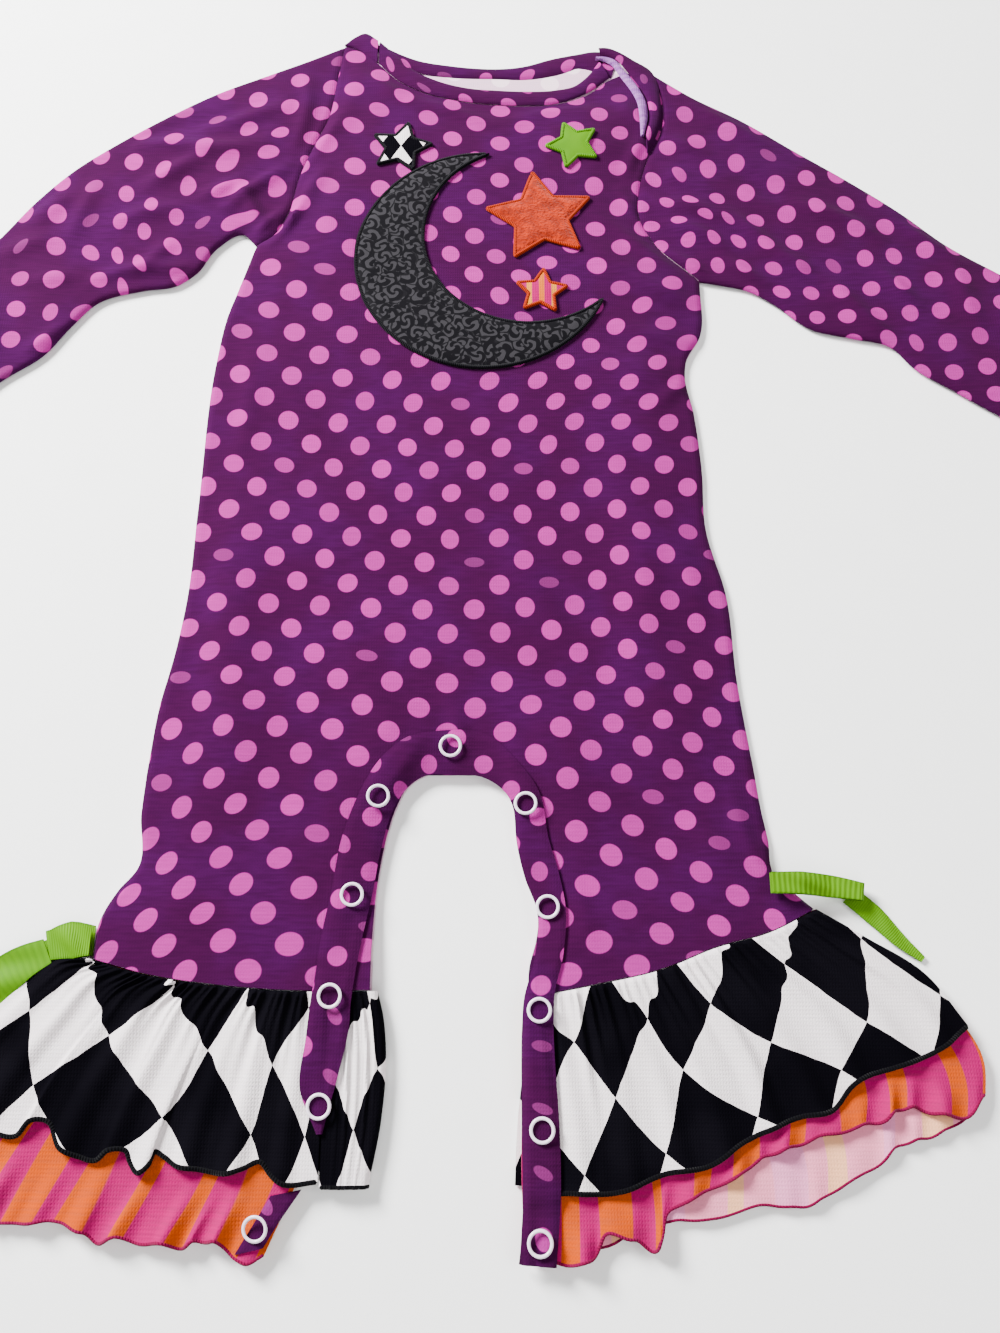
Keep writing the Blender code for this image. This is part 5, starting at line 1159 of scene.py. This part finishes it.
# ---- The snap placket ----
# A faced strip of the same jersey, stitched down along the insides of the legs and across the top of
# the arch. On the left it runs down over the harlequin ruffle and goes on beneath it.
# Each row of the strip in plan: the inner edge's x and y, then the outer edge's
PLACKET_ROWS = [
    (-66.3, -184, -67.7, -184), (-61.5, -166, -75, -168), (-58, -150, -73.5, -150), (-57, -134, -72, -134),
    (-54.5, -116, -70, -114), (-51, -97, -67, -96), (-48.4, -80, -64, -75), (-44.6, -65, -57.5, -56),
    (-39, -54.5, -49, -41.5), (-30.5, -48.4, -37, -32), (-19, -48.2, -20.5, -29.5), (-8, -48.8, -5, -31.5),
    (1.2, -54.2, 9, -45), (5.6, -62, 16.5, -57), (6.8, -76, 19.5, -74), (10, -90, 23.5, -88),
    (14.9, -104, 26, -103), (13.8, -120, 24.5, -120), (9.5, -137, 20.5, -137), (8.6, -160, 20.8, -160),
    (8.5, -183, 22, -183), (8.6, -206, 22, -206), (7, -227, 20, -228)]
PLACKET_END_ROWS = [(-72.8, -203, -84, -205), (-80.5, -214, -90, -215), (-85.5, -222, -95.5, -224)]
PLACKET_WALL = 0.6
PLACKET_STRIPS = 14
LAID_CLEAR = 0.35
STITCH_LENGTH = 2.3
STITCH_GAP = 0.9
STITCH_HALF_WIDTH = 0.30
STITCH_HALF_HEIGHT = 0.20
STITCH_LIFT = 0.05
STITCH_PURPLE = (0.02, 0.0014, 0.019, 1.0)


def through_rows(rows, share):
    """Run smoothly through a table's rows, all the same step apart."""
    table = np.array(rows, float)
    table = np.vstack([2 * table[0] - table[1], table, 2 * table[-1] - table[-2]])
    spot = np.clip(np.asarray(share, float), 0, 1) * (len(rows) - 1)
    k = np.clip(spot.astype(int), 0, len(rows) - 2)
    part = (spot - k)[:, None]
    a, b, c, d = table[k], table[k + 1], table[k + 2], table[k + 3]
    return b + 0.5 * part * (c - a + part * (2 * a - 5 * b + 4 * c - d + part * (3 * (b - c) + d - a)))


def laid_strip(name, rows, columns, strips, beneath, reach, floor, puff):
    """Lay a strip of cloth over what is beneath it, eased over every step: reach is how far round each point it
    is held clear, floor the lowest that it lies, and puff how far its middle is rounded up."""
    def plan_at(u, v):
        row = through_rows(rows, u)
        return (1 - v)[:, None] * row[:, :2] + v[:, None] * row[:, 2:]

    across, down = np.meshgrid(np.linspace(0, 1, columns + 1), np.linspace(0, 1, strips + 1))
    seat = top_over(beneath, plan_at(across.ravel(), down.ravel()), reach, floor).reshape(across.shape)
    for _ in range(3):
        seat[:, 1:-1] = np.maximum(seat[:, 1:-1], (seat[:, :-2] + 2 * seat[:, 1:-1] + seat[:, 2:]) / 4)
    for _ in range(2):
        seat[1:-1] = np.maximum(seat[1:-1], (seat[:-2] + 2 * seat[1:-1] + seat[2:]) / 4)

    def place(u, v):
        k = np.rint(u * columns).astype(int)
        row = np.rint(v * strips).astype(int)
        edge = np.minimum(v, 1 - v)
        return np.c_[plan_at(u, v), seat[row, k] + LAID_CLEAR + puff * smooth(edge / 0.18)]

    def prints(u, v, placed):
        return np.c_[placed[:, 0] / PRINT_REPEAT[0] + 0.3, placed[:, 1] / PRINT_REPEAT[1]]

    return cloth_grid(name, columns, strips, place, prints), place


def stitched_row(name, path, finish):
    """Sew a row of stitches along a path: one stitch is modelled, and copied with its own mesh."""
    along = np.concatenate([[0.0], np.cumsum(steps_of(path))])
    starts = np.arange(0.6, along[-1] - STITCH_LENGTH, STITCH_LENGTH + STITCH_GAP)
    bpy.ops.object.select_all(action="DESELECT")
    bpy.ops.mesh.primitive_uv_sphere_add(segments=6, ring_count=4, radius=1.0)
    first = bpy.context.object
    first.name = first.data.name = name
    first.data.materials.append(finish)
    bpy.ops.object.shade_smooth()
    shape = points_of(first)
    row = []
    for begin in starts:
        ends = np.array([[np.interp(begin + part, along, path[:, axis]) for axis in range(3)]
                         for part in (0.0, STITCH_LENGTH)])
        heading = ends[1] - ends[0]
        heading /= np.linalg.norm(heading)
        side = np.cross([0.0, 0.0, 1.0], heading)
        side /= np.linalg.norm(side)
        above = np.cross(heading, side)
        spots = ends.mean(axis=0) + (0.5 * STITCH_LENGTH * shape[:, :1] * heading
                                     + STITCH_HALF_WIDTH * shape[:, 1:2] * side
                                     + (STITCH_HALF_HEIGHT * shape[:, 2:3] + STITCH_LIFT) * above)
        stitch = first.copy()
        stitch.data = first.data.copy()
        bpy.context.collection.objects.link(stitch)
        set_points(stitch, spots)
        row.append(stitch)
    bpy.data.objects.remove(first)
    bpy.ops.object.select_all(action="DESELECT")
    for stitch in row:
        stitch.select_set(True)
    bpy.context.view_layer.objects.active = row[0]
    bpy.ops.object.join()
    row[0].name = row[0].data.name = name
    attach(row[0], "root")
    return row[0]


placket_jersey = dotted_jersey("dot_jersey_placket", squashed=0.30, radius=3.9)
stitch_thread = thread_finish("purple_thread", STITCH_PURPLE, (0.012, 0.0010, 0.013, 1.0), 1.0)
leg_layers = surface_of(front, wrapped, harlequin_over_left, harlequin_over_right, stripe_over_left,
                        stripe_over_right, stripe_under_right)
placket, placket_place = laid_strip("snap_placket", PLACKET_ROWS, 210, PLACKET_STRIPS, leg_layers, 2.2, FRONT_FACE,
                                    0.45)
give_wall(placket, PLACKET_WALL, INWARDS, placket_jersey)
settle(placket, "placket")
placket_end = laid_strip("snap_placket_end", PLACKET_END_ROWS, 24, 12, surface_of(stripe_over_left), 2.0,
                         STRIPE_FRONT_LEVEL + RUFFLE_WALL, 0.35)[0]
give_wall(placket_end, PLACKET_WALL, INWARDS, placket_jersey)
settle(placket_end, "placket_end_left")
for name, side in (("placket_stitches_inner", 0.13), ("placket_stitches_outer", 0.87)):
    u = np.linspace(0.03, 0.995, 260)
    strip = round(side * PLACKET_STRIPS) / PLACKET_STRIPS
    stitched_row(name, placket_place(u, np.full(len(u), strip)), stitch_thread)

# ---- The snap rings ----
# Open ring snaps in pinkish white enamelled metal, pressed through the placket so that the cloth
# shows in the middle of each. Some stand a little askew where the strip turns.
# Each snap: plan x and y, and which way and how far it leans
SNAPS = [(-88.5, -215.5, 60, 14), (-67.5, -174.5, 0, 2), (-65.2, -135.2, 0, 3), (-58.6, -96.9, 30, 3),
         (-49.5, -57.6, 150, 7), (-20.5, -36.5, 90, 4), (10.4, -60.5, 20, 7), (18.8, -101.6, 0, 5),
         (15.0, -140.4, 0, 3), (15.6, -182.6, 0, 2), (14.5, -220.0, 250, 4)]
SNAP_OUTER = 9.6
SNAP_WIRE = 1.3
SNAP_FLATTENED = 0.85
RING_WHITE = (0.72, 0.62, 0.72, 1.0)
RING_WORN = (0.60, 0.48, 0.60, 1.0)

ring_enamel, tree, shader = new_finish("snap_ring_enamel", RING_WHITE, 0.28, gloss=0.5)
shader.inputs["Coat Weight"].default_value = 0.5
shader.inputs["Coat Roughness"].default_value = 0.15
on_ring = add_node(tree, "TexCoord").outputs["Object"]
wear = add_node(tree, "TexNoise", {"Vector": on_ring, "Scale": 900.0, "Detail": 3.0}).outputs[0]
tree.links.new(eased(tree, wear, 0.35, 0.8, 0.22, 0.42), shader.inputs["Roughness"])
dress(tree, shader, blended(tree, eased(tree, wear, 0.55, 0.75), RING_WHITE, RING_WORN), wear, 0.15, 0.0001)
strip_seat = surface_of(placket, placket_end)
ring_radius = 0.5 * (SNAP_OUTER - SNAP_WIRE)
bpy.ops.object.select_all(action="DESELECT")
bpy.ops.mesh.primitive_torus_add(major_radius=ring_radius, minor_radius=0.5 * SNAP_WIRE, major_segments=48,
                                 minor_segments=12)
first_ring = bpy.context.object
first_ring.data.materials.append(ring_enamel)
bpy.ops.object.shade_smooth()
ring_shape = points_of(first_ring) * [1.0, 1.0, SNAP_FLATTENED]
for number, (x, y, way, lean) in enumerate(SNAPS, 1):
    rim = np.array([(x + ring_radius * math.cos(a), y + ring_radius * math.sin(a)) for a in np.arange(0, 6.2, 0.785)])
    seat = np.max(top_over(strip_seat, rim, 0.4, FRONT_SEAT))
    heading = np.array([math.cos(math.radians(way)), math.sin(math.radians(way))])
    slope = math.tan(math.radians(lean))
    spots = ring_shape.copy()
    spots[:, 2] += slope * (spots[:, :2] @ heading + ring_radius)
    ring = first_ring.copy()
    ring.data = first_ring.data.copy()
    bpy.context.collection.objects.link(ring)
    ring.name = ring.data.name = f"snap_{number:02d}"
    set_points(ring, spots + [x, y, seat + 0.45 * SNAP_WIRE])
    settle(ring, f"snap_ring_{number:02d}")
bpy.data.objects.remove(first_ring)

# ---- The side bows ----
# Lime grosgrain ribbon, folded into loops and tails and caught into the side of each leg seam.
# Each row of a ribbon: plan x and y of its middle, width and height
BOW_LEFT_LOOP = [(-160.5, -114.3, 11.5, 0.6), (-168, -114.3, 14.5, 0.6), (-175.5, -116.0, 11.5, 0.6)]
BOW_LEFT_TAIL = [(-176.8, -118.4, 10, 0.6), (-185, -122.5, 14, 0.6), (-194, -129, 17, 0.6), (-204, -138.5, 15, 0.6),
                 (-213, -149, 11, 0.6)]
BOW_RIGHT_LOOP = [(107, -92.5, 8, 7.6), (118, -92.6, 8.5, 6.4), (131, -93.5, 8.5, 3.0), (143, -95.5, 7, 2.6)]
BOW_RIGHT_TAIL = [(140, -96.5, 8, 0.6), (150, -105.5, 8, 0.6), (159, -115, 6, 0.6), (166.5, -121.5, 2.5, 0.6)]
BOW_RISE_LEFT = 4.2
BOW_RISE_RIGHT = 3.0
LIME = (0.075, 0.205, 0.0003, 1.0)
LIME_DEEP = (0.024, 0.1, 0.001, 1.0)
RIBBON_WALL = 0.7
RIBBON_TURN = 0.16


def ribbon(name, rows, rise, ripple, node):
    """Make a ribbon; with a rise it runs out low, folds at its end and comes back on top."""
    middle = curve_through([row[:2] for row in rows])
    shares = np.linspace(0, 1, len(rows))
    widths, levels = [row[2] for row in rows], [row[3] for row in rows]

    def place(u, v):
        if rise:
            turn = np.pi * np.clip((u - 0.5 + 0.5 * RIBBON_TURN) / RIBBON_TURN, 0, 1)
            along = np.clip(np.minimum(u, 1 - u) / (0.5 - 0.5 * RIBBON_TURN), 0, 1)
            ahead = 0.5 * rise * np.sin(turn)
            lift = 0.5 * rise * (1 - np.cos(turn))
        else:
            along, ahead, lift = u, np.zeros(len(u)), np.zeros(len(u))
        back = np.clip(along + 0.01, 0, 1) - 0.02
        heading = unit(middle(back + 0.02) - middle(back))
        side = np.c_[-heading[:, 1], heading[:, 0]]
        plan = middle(along) + ahead[:, None] * heading + side * ((v - 0.5) * np.interp(along, shares, widths))[:, None]
        sag = ripple * np.sin(np.pi * along) * np.sin(2 * np.pi * v + 9.0 * along)
        cup = 0.7 * ripple * np.cos(np.pi * (v - 0.5)) * np.sin(np.pi * along)
        top = smooth((u - 0.5) / 0.1 + 0.5) if rise else 1.0
        return np.c_[plan, np.interp(along, shares, levels) + lift + (sag + cup) * top + 0.1]

    piece = cloth_grid(name, 84 if rise else 60, 14, place, lambda u, v, placed: np.c_[u, v])
    give_wall(piece, RIBBON_WALL, BOTH_WAYS, grosgrain)
    settle(piece, node)


grosgrain, tree, shader = new_finish("lime_grosgrain", LIME, 0.62, gloss=0.06)
parts = add_node(tree, "SeparateXYZ", {0: place_of(tree, "print")}).outputs
ribs = reckon(tree, "SINE", reckon(tree, "MULTIPLY", parts["X"], 260.0))
selvedge = eased(tree, reckon(tree, "ABSOLUTE", reckon(tree, "SUBTRACT", parts["Y"], 0.5)), 0.42, 0.46)
yarn = yarn_in(tree)
tone = blended(tree, reckon(tree, "MULTIPLY", yarn["Cloud"], 0.30), LIME, LIME_DEEP)
tone = blended(tree, reckon(tree, "MULTIPLY", selvedge, 0.35), tone, LIME_DEEP)
# Painted shade: the troughs between the ribs are darkened towards LIME_DEEP as well as bumped
dress(tree, shader, blended(tree, eased(tree, ribs, -1.0, 0.2, 0.22, 0.0), tone, LIME_DEEP), ribs, 0.35, 0.0003)
ribbon("bow_loop_left", BOW_LEFT_LOOP, BOW_RISE_LEFT, 0.6, "bow_left_loop")
ribbon("bow_tail_left", BOW_LEFT_TAIL, BOW_RISE_LEFT, 0.8, "bow_left_tail")
ribbon("bow_loop_right", BOW_RIGHT_LOOP, BOW_RISE_RIGHT, 0.5, "bow_right_loop")
ribbon("bow_tail_right", BOW_RIGHT_TAIL, 0.0, 0.3, "bow_right_tail")

# ---- The moon and stars on the chest ----
# Cut shapes laid on the chest and held by a close satin stitch round their edges: a moon of black
# damask, and stars of orange plush, harlequin cloth, lime ribbon cloth and pale striped cloth.
MOON_CENTRE = (-8.0, 208.0)
MOON_RADIUS = 62.0
BAY_CENTRE = (14.0, 222.0)
BAY_RADIUS = 52.0
# Each star: plan x and y, radius and turn
STAR_ORANGE = (20.0, 232.0, 27.0, 8.0)
STAR_HARLEQUIN = (-50.0, 275.0, 15.5, -12.0)
STAR_LIME = (37.0, 276.0, 13.5, 20.0)
STAR_STRIPED = (20.0, 188.0, 12.5, -5.0)
STAR_WAIST = 0.5
CUT_CELL = 2.0
CUT_WALL = 0.8
CUT_REACH = 1.8
PAD_REACH = 3.2
SATIN_RADIUS = 0.95
SATIN_LIFT = 0.75
SATIN_TURNS = 1100.0
PLUSH_ORANGE = (0.33, 0.018, 0.0002, 1.0)
PLUSH_SHADED = (0.17, 0.009, 0.0003, 1.0)
PLUSH_DEEP = (0.12, 0.006, 0.0, 1.0)
DAMASK_GREY = (0.021, 0.0195, 0.0225, 1.0)
DAMASK_BLACK = (0.0025, 0.0022, 0.0032, 1.0)


def crescent():
    """Draw the moon: the round outside, then the bay back to the start."""
    centre, bay = np.array(MOON_CENTRE), np.array(BAY_CENTRE)
    apart = np.linalg.norm(bay - centre)
    facing = math.atan2(*(bay - centre)[::-1])
    reach = (MOON_RADIUS ** 2 - BAY_RADIUS ** 2 + apart ** 2) / (2 * apart)
    outer_turn = math.acos(reach / MOON_RADIUS)
    bay_turn = math.acos((reach - apart) / BAY_RADIUS)
    outside = facing + outer_turn + np.linspace(0, 1, 90) * (2 * math.pi - 2 * outer_turn)
    within = facing - bay_turn - np.linspace(0, 1, 70)[1:-1] * (2 * math.pi - 2 * bay_turn)
    return np.vstack([centre + MOON_RADIUS * np.c_[np.cos(outside), np.sin(outside)],
                      bay + BAY_RADIUS * np.c_[np.cos(within), np.sin(within)]])


def star(x, y, radius, turn):
    """Draw a five-pointed star, its points a little blunt."""
    angles = np.radians(90 + turn + 36 * np.arange(10))
    reach = np.where(np.arange(10) % 2 == 0, radius, radius * STAR_WAIST)
    corners = np.c_[x + reach * np.cos(angles), y + reach * np.sin(angles)]
    return np.array([corners[k] + (corners[(k + 1) % 10] - corners[k]) * share for k in range(10)
                     for share in (0.03, 0.25, 0.5, 0.75, 0.97)])


def cut_shape(name, outline, finish, node, pad, edge_finish):
    """Lay a cut shape on the chest with a satin stitch round it: a ring of edge points is filled, cut into
    cells, laid on what is beneath and padded up inside its edge."""
    bpy.ops.object.select_all(action="DESELECT")
    bpy.ops.mesh.primitive_circle_add(vertices=len(outline), radius=1.0, fill_type="NGON")
    piece = bpy.context.object
    piece.name = piece.data.name = name
    set_points(piece, np.c_[outline, np.zeros(len(outline))])
    bpy.ops.object.mode_set(mode="EDIT")
    low, high = outline.min(axis=0), outline.max(axis=0)
    for axis in (0, 1):
        normal = (1.0, 0.0, 0.0) if axis == 0 else (0.0, 1.0, 0.0)
        for spot in np.arange(low[axis] + CUT_CELL, high[axis], CUT_CELL):
            bpy.ops.mesh.select_all(action="SELECT")
            bpy.ops.mesh.bisect(plane_co=tuple(np.array(normal) * spot * MM), plane_no=normal)
    close_seams(0.00002)
    spots = points_of(piece) / MM
    if piece.data.polygons[0].normal.z < 0:
        piece.data.flip_normals()
    closed = np.vstack([outline, outline[:1]])
    fine = np.vstack([closed[:-1] + (closed[1:] - closed[:-1]) * part for part in (0.0, 0.25, 0.5, 0.75)])
    away = np.array([np.min(np.hypot(*(fine - spot).T)) for spot in spots[:, :2]])
    seat = top_over(chest, spots[:, :2], CUT_REACH, FRONT_FACE)
    spots[:, 2] = seat + LAID_CLEAR + pad * smooth(away / PAD_REACH)
    set_points(piece, spots)
    set_maps(piece, spots[:, :2] * MM, (spots[:, :2] - outline.mean(axis=0)) * MM)
    give_wall(piece, CUT_WALL, OUTWARDS, finish)
    settle(piece, node)
    walk = np.vstack([closed[k] + (closed[k + 1] - closed[k]) * part for k in range(len(outline))
                      for part in (0.0, 0.5)])
    rim = np.c_[walk, top_over(chest, walk, CUT_REACH, FRONT_FACE) + SATIN_LIFT]
    edge = rounded_edge(name + "_satin_edge", np.vstack([rim, rim[:2]]), SATIN_RADIUS, edge_finish)


# Damask: black leaves and scrolls woven on a dark grey ground
damask, tree, shader = new_finish("black_damask", DAMASK_GREY, 0.6, 0.05)
bend = add_node(tree, "TexNoise", {"Vector": place_of(tree, "print"), "Scale": 130.0, "Detail": 1.0})
turned = add_node(tree, "VectorMath", {0: bend.outputs["Color"], 1: (0.5, 0.5, 0.5)}, operation="SUBTRACT")
turned = add_node(tree, "VectorMath", {0: turned.outputs[0], "Scale": 0.0045}, operation="SCALE")
curled = add_node(tree, "VectorMath", {0: place_of(tree, "print"), 1: turned.outputs[0]}, operation="ADD").outputs[0]
scrolls = {"Vector": curled, "Scale": 150.0, "Randomness": 0.9}
cells = add_node(tree, "TexVoronoi", scrolls)
middles = add_node(tree, "VectorMath", {0: curled, 1: cells.outputs["Position"]}, operation="SUBTRACT")
parts = add_node(tree, "SeparateXYZ", {0: middles.outputs[0]}).outputs
tints = add_node(tree, "SeparateColor", {0: cells.outputs["Color"]}).outputs
angle = reckon(tree, "ARCTAN2", parts["Y"], parts["X"])
away = reckon(tree, "MULTIPLY_ADD", cells.outputs["Distance"], 11.0, reckon(tree, "MULTIPLY", tints[0], 6.3))
scroll = reckon(tree, "SINE", reckon(tree, "MULTIPLY_ADD", angle, 2.0, away))
to_edge = add_node(tree, "TexVoronoi", scrolls, feature="DISTANCE_TO_EDGE").outputs["Distance"]
woven = reckon(tree, "MAXIMUM", eased(tree, scroll, -0.25, 0.05), eased(tree, to_edge, 0.02, 0.06, 0.9, 0.0))
tree.links.new(eased(tree, woven, 0.0, 1.0, 0.75, 0.45), shader.inputs["Roughness"])
dress(tree, shader, blended(tree, woven, DAMASK_GREY, DAMASK_BLACK), woven, 0.4)

# Plush: short orange pile, lying this way and that, with painted shade in the low hollows of its swirls
plush, tree, shader = new_finish("orange_plush_pile", PLUSH_ORANGE, 0.9, 0.12)
pile = add_node(tree, "TexNoise", {"Vector": place_of(tree, "cut"), "Scale": 900.0, "Detail": 3.0}).outputs[0]
swirl = add_node(tree, "TexNoise", {"Vector": place_of(tree, "cut"), "Scale": 170.0, "Detail": 2.0}).outputs[0]
tone = blended(tree, eased(tree, swirl, 0.35, 0.65), PLUSH_SHADED, PLUSH_ORANGE)
dress(tree, shader, blended(tree, eased(tree, pile, 0.40, 0.70, 0.0, 0.55), tone, PLUSH_DEEP),
      reckon(tree, "MULTIPLY_ADD", swirl, 1.4, pile), 0.8, 0.0009)

# Star cloths: small diamonds, plain lime and pale stripes, on the shapes' own print map
star_diamonds, tree, shader = new_finish("harlequin_star_cloth", HARLEQUIN_WHITE, 0.85)
parts = add_node(tree, "SeparateXYZ", {0: place_of(tree, "print")}).outputs
first = reckon(tree, "MULTIPLY_ADD", reckon(tree, "MULTIPLY_ADD", parts["Y"], 0.62, parts["X"]), 90.0, 50.0)
second = reckon(tree, "MULTIPLY_ADD", reckon(tree, "MULTIPLY_ADD", parts["Y"], -0.62, parts["X"]), 90.0, 50.0)
dress(tree, shader, blended(tree, odd_one(tree, first, second), HARLEQUIN_BLACK, HARLEQUIN_WHITE),
      yarn_in(tree)["Height"], 0.4)
star_stripes = stripe_finish("star_stripe_cloth", (0.46, 0.10, 0.006, 1.0), STRIPE_PINK, (0.48, 0.17, 0.014, 1.0), 0.8,
                             170.0)

chest = surface_of(front)
black_satin = thread_finish("black_satin_edge", (0.0030, 0.0028, 0.0045, 1.0), (0.0010, 0.0010, 0.0015, 1.0),
                            SATIN_TURNS, 0.4)
orange_satin = thread_finish("orange_satin_edge", (0.30, 0.020, 0.0, 1.0), (0.15, 0.008, 0.0, 1.0), SATIN_TURNS, 0.45)
lime_satin = thread_finish("lime_satin_edge", LIME, LIME_DEEP, SATIN_TURNS, 0.45)
cut_shape("moon", crescent(), damask, "moon_damask", 0.7, black_satin)
cut_shape("orange_star", star(*STAR_ORANGE), plush, "star_orange", 1.1,
          orange_satin)
cut_shape("diamond_star", star(*STAR_HARLEQUIN), star_diamonds, "star_harlequin", 0.5,
          black_satin)
cut_shape("lime_star", star(*STAR_LIME), grosgrain, "star_lime", 0.5,
          lime_satin)
cut_shape("striped_star", star(*STAR_STRIPED), star_stripes, "star_striped", 0.5,
          orange_satin)
